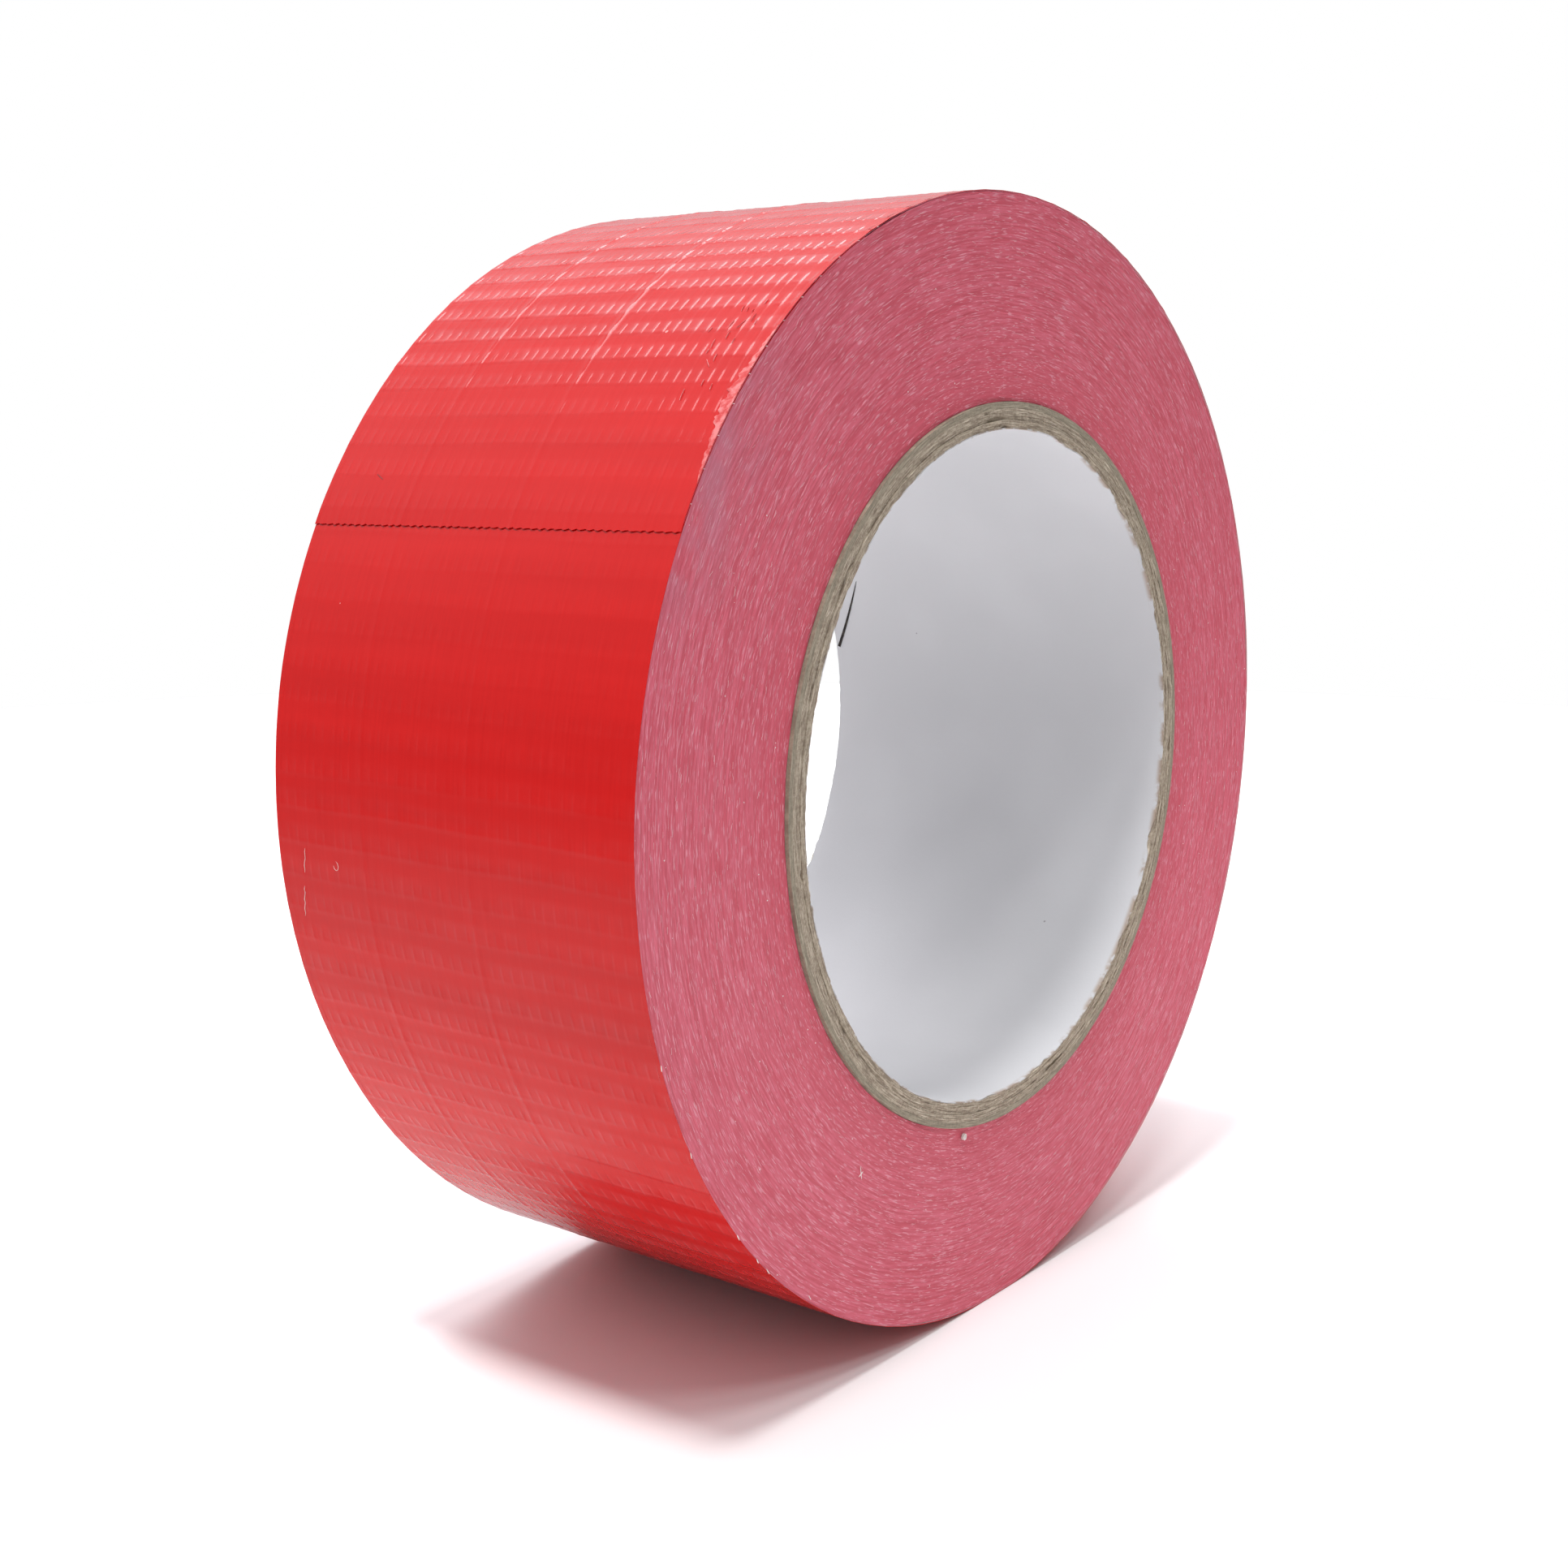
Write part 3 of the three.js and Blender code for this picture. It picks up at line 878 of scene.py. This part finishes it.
# rings of tape edges from the core to the last turn, closed behind
def makeWoundTurns():
    inputs = {"Turns": 150, "Segments": 200, "Inner Radius": 0.04, "Outer Radius": 0.06, "Front": 0.0,
              "Middle": 0.0, "Wander": 0.0, "Step Angle": 0.0, "Tape Thickness": 0.15 * mm, "Foot": 0.0,
              "Seed": 1}
    tree, given, result = groupOf("woundTurns", "GeometryNodeTree", inputs)
    ringRows = plus(tree, times(tree, given["Turns"], 2.0), 2.0)
    grid, row, angle = ringGrid(tree, ringRows, given["Segments"])
    behind = minus(tree, given["Step Angle"], angle)
    behind = calc(tree, "MODULO", plus(tree, behind, 4 * math.pi), 2 * math.pi)
    share = divided(tree, behind, 2 * math.pi)
    dive = remap(tree, behind, 0.0, 0.25, 1.0, 0.0)  # the last turn slips under the loose end here
    drop = times(tree, calc(tree, "MAXIMUM", share, dive), given["Tape Thickness"])
    outer = minus(tree, given["Outer Radius"], drop)
    edgeRow = calc(tree, "MINIMUM", calc(tree, "MAXIMUM", minus(tree, row, 1.0), 0.0),
                   minus(tree, times(tree, given["Turns"], 2.0), 1.0))
    turn = calc(tree, "FLOOR", divided(tree, edgeRow, 2.0))
    side = calc(tree, "MODULO", edgeRow, 2.0)
    within = plus(tree, times(tree, side, turns["edgeShare"]), (1 - turns["edgeShare"]) / 2)
    fraction = divided(tree, plus(tree, turn, within), given["Turns"])
    depth = minus(tree, outer, given["Inner Radius"])
    radius = plus(tree, given["Inner Radius"], times(tree, depth, fraction))
    downwards = times(tree, calc(tree, "COSINE", angle), -1.0)
    flat = divided(tree, minus(tree, radius, given["Foot"]), calc(tree, "MAXIMUM", downwards, 0.5))
    low = calc(tree, "GREATER_THAN", downwards, 0.9)
    radius = either(tree, low, calc(tree, "MINIMUM", radius, flat), radius)
    wanders = []
    for reach, turnStep, amount in turns["unevenness"]:
        third = plus(tree, times(tree, turn, turnStep), given["Seed"])
        part = minus(tree, noiseRound(tree, angle, reach, third), 0.5)
        wanders.append(times(tree, part, amount * 2))
    wander = plus(tree, plus(tree, wanders[0], wanders[1]), wanders[2])
    face = plus(tree, given["Front"], times(tree, wander, given["Wander"]))
    firstRow = calc(tree, "LESS_THAN", row, 0.5)
    lastRow = calc(tree, "GREATER_THAN", row, minus(tree, ringRows, 1.5))
    closing = calc(tree, "MAXIMUM", firstRow, lastRow)
    y = either(tree, closing, given["Middle"], face)
    closeRing(tree, grid, onRoll(tree, angle, radius, y), given, result)
    return tree


woundTree = makeWoundTurns()
coreOuter = halfWidth("core_outer_ply")
for side, y, seed in (("front", tapeFront + 0.05 * mm, 1), ("back", tapeBack - 0.05 * mm, 2)):
    half = fromTree(f"wound_turns_{side}", woundTree, {
        "Turns": turns["count"], "Segments": turns["segments"], "Inner Radius": coreOuter + 0.03 * mm,
        "Outer Radius": peelRadius - turns["gapBelowFilm"], "Front": y, "Middle": tapeMiddle,
        "Wander": turns["wander"], "Step Angle": math.radians(peelAngle),
        "Tape Thickness": tape["thickness"], "Foot": footPress, "Seed": seed, "Material": turnEdges})
    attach(half, "roll")
    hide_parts("wound_pack")
print("wound turns made")


# the core: an outer ply, five inner plies and the bore's paper liner
core = {
    "outerPly": {"Fray": 0.10 * mm, "Fray Length": 1.6 * mm, "Tear": 0.0, "Lift": 0.03 * mm},
    "innerPly": {"Fray": 0.34 * mm, "Fray Length": 1.1 * mm, "Tear": 0.5 * mm, "Lift": 0.16 * mm},
    "liner": {"Fray": 0.40 * mm, "Fray Length": 1.4 * mm, "Tear": 0.9 * mm, "Lift": 0.10 * mm},
    "recess": (0.10 * mm, 0.02 * mm, 0.14 * mm, 0.06 * mm, 0.02 * mm),  # of each inner ply's ends
    "linerRecess": 0.10 * mm,
    "linerWall": 0.14 * mm,
    "glueGap": 0.01 * mm,
    "crowding": 3.0,  # how much closer the rows of points lie at the ends
    "frayReach": 0.5 * mm,
    "liftReach": 1.4 * mm,
    "segments": 720,
}


# a tube of board or paper whose ends are torn and lift a little
def makePaperTube():
    inputs = {"Inner Radius": 0.04, "Outer Radius": 0.041, "Front": 0.0, "Back": 0.05, "Fray": 0.1 * mm,
              "Fray Length": 1.0 * mm, "Tear": 0.0, "Lift": 0.0, "Ripple": 0.0, "Rows": 12,
              "Segments": 720, "Seed": 1}
    tree, given, result = groupOf("paperTube", "GeometryNodeTree", inputs)
    loopRows = times(tree, given["Rows"], 2.0)
    grid, row, angle = ringGrid(tree, loopRows, given["Segments"])
    outside = calc(tree, "GREATER_THAN", row, minus(tree, given["Rows"], 0.5))
    step = minus(tree, row, times(tree, outside, given["Rows"]))
    share = divided(tree, step, minus(tree, given["Rows"], 1.0))
    fromEnd = calc(tree, "ABSOLUTE", minus(tree, times(tree, share, 2.0), 1.0))
    spread = calc(tree, "POWER", minus(tree, 1.0, fromEnd), core["crowding"])
    half = times(tree, minus(tree, given["Back"], given["Front"]), 0.5)
    distance = times(tree, spread, half)
    # the inner rows run from front to back, the outer rows from back to front
    backwards = calc(tree, "GREATER_THAN", share, 0.5)
    backwards = calc(tree, "ABSOLUTE", minus(tree, backwards, outside))
    sign = minus(tree, 1.0, times(tree, backwards, 2.0))
    end = plus(tree, given["Front"], times(tree, backwards, times(tree, half, 2.0)))
    frays = divided(tree, given["Outer Radius"], given["Fray Length"])
    shift = plus(tree, given["Seed"], times(tree, backwards, 31.7))

    def endNoise(ratio, detail, offset):
        return noiseRound(tree, angle, times(tree, frays, ratio), plus(tree, shift, offset), detail, 0.6)

    def fading(reach):  # 1 at the end of the tube, towards 0 further in
        return calc(tree, "EXPONENT", divided(tree, distance, -reach))

    fray = times(tree, minus(tree, endNoise(1.0, 4.0, 0.0), 0.5), given["Fray"])
    torn = remap(tree, endNoise(0.16, 3.0, 5.0), 0.55, 0.72)
    torn = times(tree, times(tree, torn, given["Tear"]), endNoise(0.8, 4.0, 9.0))
    inwards = times(tree, plus(tree, fray, torn), fading(core["frayReach"]))
    y = plus(tree, end, times(tree, sign, plus(tree, distance, inwards)))
    lifted = minus(tree, endNoise(0.3, 3.0, 17.0), 0.5)
    lifted = times(tree, times(tree, lifted, given["Lift"]), fading(core["liftReach"]))
    waves = minus(tree, noiseRound(tree, angle, 6.0, times(tree, y, 90.0)), 0.5)
    ripple = times(tree, waves, given["Ripple"])
    wall = minus(tree, given["Outer Radius"], given["Inner Radius"])
    radius = plus(tree, given["Inner Radius"], times(tree, wall, outside))
    radius = plus(tree, radius, plus(tree, lifted, ripple))
    closeRing(tree, grid, onRoll(tree, angle, radius, y), given, result)
    return tree


tubeTree = makePaperTube()


def corePiece(name, node, material, settings, recess, seed, ripple=0.0, rows=11):
    low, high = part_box(node)
    outside = halfWidth(node)
    inside = outside - wallOf[node]
    made = fromTree(name, tubeTree, {
        "Inner Radius": inside, "Outer Radius": outside - 0.004 * mm, "Front": low.y + recess,
        "Back": high.y - recess, "Ripple": ripple, "Rows": rows, "Segments": core["segments"], "Seed": seed,
        "Material": material, **settings})
    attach(made, "roll")
    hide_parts(node)
    return made


plyNames = [f"core_ply_{number}" for number in range(1, 6)]
tubeNames = ["core_liner", *plyNames, "core_outer_ply"]
radii = [halfWidth(name) for name in tubeNames]
wallOf = {name: radii[i] - radii[i - 1] - core["glueGap"] for i, name in enumerate(tubeNames) if i}
wallOf["core_liner"] = core["linerWall"]
corePiece("bore_liner", "core_liner", linerPaper, core["liner"], core["linerRecess"], 41,
          ripple=0.05 * mm, rows=15)
for number, (node, recess) in enumerate(zip(plyNames, core["recess"])):
    seed = 50 + number * 3
    corePiece(f"board_ply_{number + 1}", node, innerBoard, core["innerPly"], recess, seed)
corePiece("board_outer_ply", "core_outer_ply", outerBoard, core["outerPly"], 0.0, 71)
print("core made")


# yarn ends, paper fibres and lint
# short curved fibres lying on a ring-shaped face
def makeStrayFibres():
    inputs = {"Count": 1000, "Inner Radius": 0.04, "Outer Radius": 0.06, "Face": 0.0, "Rise": 0.1 * mm,
              "Length": 0.8 * mm, "Thickness": 0.03 * mm, "Curl": 0.2 * mm, "Skew": 0.3, "Seed": 1}
    tree, given, result = groupOf("strayFibres", "GeometryNodeTree", inputs)

    def random(low, high, offset):
        node = put(tree, "FunctionNodeRandomValue")
        node.data_type = "FLOAT"
        node.inputs[2].default_value = low
        node.inputs[3].default_value = high
        tree.links.new(plus(tree, given["Seed"], offset), node.inputs["Seed"])
        return node.outputs[1]

    points = put(tree, "GeometryNodePoints", given["Count"])
    angle = random(0.0, 2 * math.pi, 0.0)
    squareIn = times(tree, given["Inner Radius"], given["Inner Radius"])
    squareOut = times(tree, given["Outer Radius"], given["Outer Radius"])
    between = times(tree, minus(tree, squareOut, squareIn), random(0.0, 1.0, 1.0))
    radius = calc(tree, "SQRT", plus(tree, squareIn, between))  # evenly spread over the face
    y = plus(tree, given["Face"], times(tree, given["Rise"], random(-1.0, 1.0, 2.0)))
    moved = put(tree, "GeometryNodeSetPosition", points.outputs[0], None, onRoll(tree, angle, radius, y))
    half = times(tree, given["Length"], 0.5)
    minusHalf = times(tree, half, -1.0)
    fibre = put(tree, "GeometryNodeCurvePrimitiveBezierSegment")
    fibre.inputs["Resolution"].default_value = 3
    ends = ((minusHalf, 0.0), (times(tree, half, -0.4), given["Curl"]),
            (times(tree, half, 0.4), times(tree, given["Curl"], -0.6)), (half, 0.0))
    for label, (alongX, sideZ) in zip(("Start", "Start Handle", "End Handle", "End"), ends):
        tree.links.new(vectorOf(tree, alongX, 0.0, sideZ), fibre.inputs[label])
    profile = put(tree, "GeometryNodeCurvePrimitiveCircle")
    profile.inputs["Resolution"].default_value = 4
    tree.links.new(given["Thickness"], profile.inputs["Radius"])
    tube = put(tree, "GeometryNodeCurveToMesh", fibre.outputs[0], profile.outputs[0])
    tube.inputs["Fill Caps"].default_value = True
    turn = minus(tree, times(tree, random(-1.0, 1.0, 3.0), given["Skew"]), angle)
    rotation = vectorOf(tree, random(0.0, 2 * math.pi, 4.0), turn, 0.0)
    copies = put(tree, "GeometryNodeInstanceOnPoints", moved.outputs[0])
    tree.links.new(tube.outputs[0], copies.inputs["Instance"])
    tree.links.new(rotation, copies.inputs["Rotation"])
    tree.links.new(random(0.45, 1.35, 5.0), copies.inputs["Scale"])
    finishTree(tree, copies.outputs[0], given, result)
    return tree


fibres = {
    "yarnEnds": {"Count": 2600, "Length": 0.55 * mm, "Thickness": 0.011 * mm, "Curl": 0.10 * mm,
                 "Skew": 0.35, "Rise": 0.06 * mm},
    "boardFibres": {"Count": 900, "Length": 0.9 * mm, "Thickness": 0.014 * mm, "Curl": 0.22 * mm,
                    "Skew": 0.7, "Rise": 0.10 * mm},
}
fibreTree = makeStrayFibres()
boreRadius = radii[0] - wallOf["core_liner"]
for side, face, sign, seed in (("front", tapeFront, 1, 100), ("back", tapeBack, -1, 200)):
    ends = fromTree(f"yarn_ends_{side}", fibreTree, {
        "Inner Radius": coreOuter + 0.3 * mm, "Outer Radius": peelRadius - 0.5 * mm,
        "Face": face - sign * 0.05 * mm, "Seed": seed, "Material": yarnCotton, **fibres["yarnEnds"]})
    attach(ends, "roll")
    coreEnd = coreFront if side == "front" else coreBack
    paper = fromTree(f"paper_fibres_{side}", fibreTree, {
        "Inner Radius": boreRadius + 0.05 * mm, "Outer Radius": coreOuter - 0.7 * mm,
        "Face": coreEnd + sign * 0.10 * mm, "Seed": seed + 7, "Material": paperFibre,
        **fibres["boardFibres"]})
    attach(paper, "roll")


# thin round threads through points given as angle, radius and place across, in degrees and mm
def threadMesh(name, threads, radius, material, sides=6):
    points, faces, base = [], [], 0
    for thread in threads:
        path = np.array(thread, float)
        middle = around(path[:, 0], path[:, 1] * mm, path[:, 2] * mm)
        ahead = np.gradient(middle, axis=0)
        ahead /= np.linalg.norm(ahead, axis=1)[:, None]
        up = np.cross(ahead, (0.31, 0.71, 0.63))
        up /= np.linalg.norm(up, axis=1)[:, None]
        aside = np.cross(ahead, up)
        turn = np.linspace(0, 2 * math.pi, sides, endpoint=False)
        taper = np.interp(np.linspace(0, 1, len(path)), (0, 0.15, 0.85, 1), (0.4, 1, 1, 0.4))[:, None, None]
        ring = up[:, None] * np.cos(turn)[None, :, None] + aside[:, None] * np.sin(turn)[None, :, None]
        points.append((middle[:, None] + ring * radius * taper).reshape(-1, 3))
        faces += rodFaces(len(path), sides, base)
        base += len(path) * sides
    return solidFrom(name, np.concatenate(points), faces, material)


# paths of hairs, lint and slivers: degrees round the roll, then radius and place across in mm
surface = rollRadius / mm
frontFace = tapeFront / mm
hairs = [[(94.2 + i * 0.35, surface - 0.10, 20.35 + 0.06 * math.sin(i * 1.7) + i * 0.08) for i in range(8)],
         [(98.0 + i * 0.35, surface - 0.10, 21.2 + 0.08 * math.sin(i * 2.1) + i * 0.09) for i in range(10)],
         [(95.4 + 0.45 * math.sin(i * 0.75), surface - 0.07, 15.7 + 0.38 * math.cos(i * 0.75))
          for i in range(7)]]
ball = [[(169.3 + 0.5 * math.cos(i * 0.9) * math.sin(i * 0.13), 42.4 + 0.36 * math.sin(i * 0.9),
          frontFace - 0.22 - 0.16 * math.cos(i * 0.37)) for i in range(60)]]
cross = [[(144.2 + i * 0.25, 48.4 + i * 0.22, frontFace - 0.16) for i in range(6)],
         [(145.1 - i * 0.12, 48.7 + i * 0.2, frontFace - 0.2) for i in range(5)],
         [(143.6 + i * 0.12, 63.0 + 0.05 * i, frontFace - 0.1) for i in range(6)]]
tufts = [[(at + i * 0.12, surface - 0.25 + i * 0.06, frontFace - 0.02 - 0.04 * i * lean) for i in range(5)]
         for at, lean in ((129.4, 1.0), (133.6, 0.6), (135.7, 1.2), (118.0, 0.5), (108.5, 0.8))]
lint = threadMesh("lint", ball + cross + tufts, 0.045 * mm, lintWhite)
filmHairs = threadMesh("film_hairs", hairs, 0.022 * mm, lintWhite)
for piece in (lint, filmHairs):
    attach(piece, "roll")

# the loose end's scuffed corner: film rolled up along the front edge, and short lifted slivers beside it
scuff = {
    "from": 41.5,  # degrees from the top
    "to": 58.5,
    "width": 1.25 * mm,
    "rise": 0.09 * mm,
    "base": 0.012 * mm,
    "thickness": 0.035 * mm,
    "sunk": 0.03 * mm,
    "widthAt": (0, 0.08, 0.2, 0.42, 0.6, 0.75, 0.9, 1),  # shares of its length
    "widthShare": (0.1, 0.25, 0.35, 0.95, 1.0, 0.45, 0.3, 0.05),
    "slivers": 16,
    "seed": 8,
}
scuffDice = np.random.default_rng(scuff["seed"])


def makeScuffedEdge():
    along = np.linspace(scuff["from"], scuff["to"], 120)[:, None]
    share = (along - scuff["from"]) / (scuff["to"] - scuff["from"])
    profile = np.interp(share, scuff["widthAt"], scuff["widthShare"])
    torn = profile * (1 + 0.18 * np.sin(share * 61) + 0.12 * np.sin(share * 143 + 1))
    inwards = np.linspace(0, 1, 9)[None, :]
    angle = along + 0.12 * np.sin(inwards * 9 + along * 2.3)
    across = tapeFront - 0.03 * mm + inwards * torn * scuff["width"]
    wrinkle = 0.5 + 0.3 * np.sin(along * 3.1 + inwards * 5) + 0.2 * np.sin(along * 9.7 - inwards * 11)
    curl = scuff["rise"] * wrinkle * np.exp(-(inwards / 0.5) ** 2) * profile * 0.6
    radius = tapeRadius(tape["endAngle"] - angle) + lumps(angle, across) + scuff["base"]
    top = around(angle, radius + (scuff["thickness"] + curl), across)
    bottom = around(angle, radius - scuff["sunk"], across)
    loop = np.concatenate([top, bottom[:, ::-1]], axis=1)
    return solidFrom("scuffed_edge", loop, rodFaces(*loop.shape[:2]), scuffedFilm)


def makeSlivers():
    slivers = []
    while len(slivers) < scuff["slivers"]:
        at, side = scuffDice.uniform(37.5, 49.5), scuffDice.uniform(-22.6, -17.2)
        length, swing = scuffDice.uniform(0.35, 1.3), scuffDice.uniform(-0.2, 0.2)
        slivers.append([(at + length * t, surface + 0.055 + 0.02 * math.sin(t * 3.1), side + swing * t * t)
                        for t in np.linspace(0, 1, 7)])
    slivers.append([(45.6 + 0.9 * t, surface + 0.06, -19.3 - 0.9 * t) for t in np.linspace(0, 1, 6)])
    slivers.append([(40.6 + 1.1 * t, surface + 0.07, -20.9 + 0.5 * t) for t in np.linspace(0, 1, 6)])
    return threadMesh("edge_slivers", slivers, 0.040 * mm, scuffedFilm)


scuffedEdge = makeScuffedEdge()
slivers = makeSlivers()
nickPath = [(58.2 + 0.55 * t, surface + 0.012, 17.9 - 1.2 * t) for t in np.linspace(0, 1, 6)]
nick = threadMesh("nick", [nickPath], 0.035 * mm, darkNick)
for piece in (scuffedEdge, slivers, nick):
    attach(piece, "tail")


# the liner's helical seam, open where it meets the back rim
linerSeam = {
    "fromRim": 0.55 * mm,
    "length": 5.4 * mm,
    "startAngle": -78.0,  # past the horizontal on the +X side
    "turn": 15.5,
    "halfGap": 0.22,  # mm at the rim
    "lip": 0.10,
    "slope": 0.56,
}


def makeLinerSeam():
    steps = 60
    share = np.linspace(0, 1, steps)
    y = coreBack - linerSeam["fromRim"] - share * linerSeam["length"]
    angle = linerSeam["startAngle"] + share * linerSeam["turn"]
    gap = (linerSeam["halfGap"] * (1 - share) ** 0.6 + 0.02) * mm
    lip = (linerSeam["lip"] + 0.05 * np.sin(share * 37) + 0.03 * np.sin(share * 91)) * mm * (1 - share * 0.6)
    sideways = np.stack([-gap - lip, -gap - 0.3 * lip, -gap, gap, gap + 0.3 * lip, gap + lip], axis=1)
    rise = np.stack([0 * share, 0.11 + 0.02 * np.sin(share * 53), 0.075 + 0 * share, 0.075 + 0 * share,
                     0.10 + 0.02 * np.sin(share * 47 + 1), 0 * share], axis=1) * mm
    norm = math.hypot(1, linerSeam["slope"])
    across = y[:, None] + sideways * (1 / norm)
    turned = angle[:, None] + np.degrees(sideways * (linerSeam["slope"] / norm) / boreRadius)
    radius = boreRadius - rise
    top = around(turned, radius, across)
    under = around(turned, np.full_like(radius, boreRadius + 0.06 * mm), across)
    loop = np.concatenate([top, under[:, ::-1]], axis=1)
    sides = loop.shape[1]
    made = solidFrom("liner_seam", loop, rodFaces(steps, sides), linerPaper)
    made.data.materials.append(seamShadow)
    for polygon in made.data.polygons:
        if sorted(v % sides for v in polygon.vertices) == [2, 2, 3, 3]:  # between the lips
            polygon.material_index = 1
    return made


seam = makeLinerSeam()
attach(seam, "roll")
print("fibres and lint made")


# stage, light and camera
studio = {
    "floorTone": 0.88,
    "floorReach": 0.6,  # radius of the white table
    "floorBouncePaintedPool": (0.42, 0.17),  # how light the table is in reflections and bounce light, near and far: a painted pool of light round the roll
    "floorGlow": 2.3,  # how much more of its light reaches rough surfaces
    "diffuseShare": 1.08,  # how much more light rough surfaces receive than a reflection shows
    "keyStrength": 2.6,
    "keySpread": 9.0,  # degrees
    "keyTilt": 14.5,  # degrees from straight above, towards -X
    "keyRow": ((2.0, 0.68), (16.0, 0.20), (30.0, 0.12)),  # pieces of one long light: degrees to -Y, share
    "sky": (0.40, 0.84, 0.40),  # brightness at the horizon, halfway up and straight above
    "nearSide": 0.45,  # the surroundings are this much dimmer towards the viewer's side
    "skyColour": (0.985, 0.965, 1.0, 1.0),
    "stripStrength": 5.0,  # a long soft box hangs above, behind the roll and parallel to X
    "stripX": (-0.42, -0.30, 0.95, 1.15),  # its soft edges, as shares of its height
    "stripY": (0.22, 0.30, 0.60, 0.76),
    "keySide": 0.65,  # the low surroundings are this much dimmer on the key light's side
}


def makeStage():
    mesh = bpy.data.meshes.new("floor")
    turn = np.linspace(0, 2 * math.pi, 64, endpoint=False)
    reach = studio["floorReach"]
    rim = [(reach * math.cos(t), reach * math.sin(t), -0.02 * mm) for t in turn]
    mesh.from_pydata(rim, [], [tuple(range(64))])
    material, tree, shader = startMaterial("floor", Roughness=0.9)
    place = objectPlace(tree)
    # painted pool of light: in reflections and bounce light the table is lighter near the roll and darker
    # further out
    nearTone, farTone = studio["floorBouncePaintedPool"]
    paintedPool = remap(tree, vectorCalc(tree, "LENGTH", place), 0.10, 0.42, nearTone, farTone)
    path = put(tree, "ShaderNodeLightPath").outputs
    paintedPool = times(tree, paintedPool, remap(tree, path["Is Diffuse Ray"], 0.0, 1.0, 1.0, studio["floorGlow"]))
    tone = put(tree, "ShaderNodeMix", path["Is Camera Ray"], None, paintedPool, studio["floorTone"])
    tree.links.new(tone.outputs[0], shader.inputs["Base Color"])
    mesh.materials.append(material)
    addObject("floor", mesh)
    for number, (side, share) in enumerate(studio["keyRow"]):
        light = bpy.data.lights.new(f"overhead_light_{number + 1}", "SUN")
        light.energy = studio["keyStrength"] * share
        light.angle = math.radians(studio["keySpread"])
        lamp = addObject(light.name, light)
        tilts = Vector((-math.tan(math.radians(studio["keyTilt"])), -math.tan(math.radians(side)), 1.0))
        lamp.location = 0.6 * tilts.normalized()
        lamp.rotation_euler = tilts.to_track_quat("Z", "Y").to_euler()
    world = bpy.data.worlds.new("studio")
    world.use_nodes = True
    bpy.context.scene.world = world
    tree = world.node_tree
    tree.nodes.clear()
    direction = put(tree, "ShaderNodeTexCoord").outputs["Generated"]
    height = split(tree, direction)[2]
    horizon, halfway, above = studio["sky"]
    rising = remap(tree, height, 0.0, 0.60, horizon, halfway, False)
    ceiling = remap(tree, height, 0.84, 0.97)
    strength = put(tree, "ShaderNodeMix", ceiling, None, rising, above).outputs[0]
    sides = split(tree, direction)
    strength = times(tree, strength, remap(tree, sides[1], -0.7, 0.45, studio["nearSide"], 1.0))
    strength = times(tree, strength, remap(tree, sides[0], -0.9, -0.3, studio["keySide"], 1.0))
    upwards = calc(tree, "MAXIMUM", height, 0.05)
    strip = studio["stripStrength"]
    for axis, edges in ((0, studio["stripX"]), (1, studio["stripY"])):
        across = divided(tree, sides[axis], upwards)
        opened = remap(tree, across, edges[0], edges[1])
        closed = remap(tree, across, edges[2], edges[3], 1.0, 0.0)
        strip = times(tree, strip, times(tree, opened, closed))
    strength = plus(tree, strength, strip)
    path = put(tree, "ShaderNodeLightPath").outputs
    boost = remap(tree, path["Is Diffuse Ray"], 0.0, 1.0, 1.0, studio["diffuseShare"])
    strength = times(tree, strength, boost)
    surroundings = put(tree, "ShaderNodeBackground", studio["skyColour"], strength).outputs[0]
    backdrop = put(tree, "ShaderNodeBackground", (1.0, 1.0, 1.0, 1.0), 1.0).outputs[0]
    mixed = put(tree, "ShaderNodeMixShader", path["Is Camera Ray"], surroundings, backdrop).outputs[0]
    put(tree, "ShaderNodeOutputWorld", mixed)


camera = {
    "azimuth": -52.475,
    "elevation": 9.604,
    "distance": 248.9 * mm,
    "right": -5.44 * mm,  # of the roll's centre, so that it sits in the picture as it should
    "up": -4.25 * mm,
    "lens": 46.99,
}


def makeCamera():
    turn, rise = math.radians(camera["azimuth"]), math.radians(camera["elevation"])
    back = Vector((math.sin(turn) * math.cos(rise), -math.cos(turn) * math.cos(rise), math.sin(rise)))
    right = Vector((0, 0, 1)).cross(back).normalized()
    up = back.cross(right)
    data = bpy.data.cameras.new("camera")
    data.lens = camera["lens"]
    data.sensor_width = 36
    made = addObject("camera", data)
    centre = Vector((0, tapeMiddle, centreZ))
    made.location = centre + right * camera["right"] + up * camera["up"] + back * camera["distance"]
    made.rotation_euler = back.to_track_quat("Z", "Y").to_euler()
    bpy.context.scene.camera = made


makeStage()
makeCamera()
bpy.context.scene.view_settings.view_transform = "Standard"
print("stage, light and camera made")
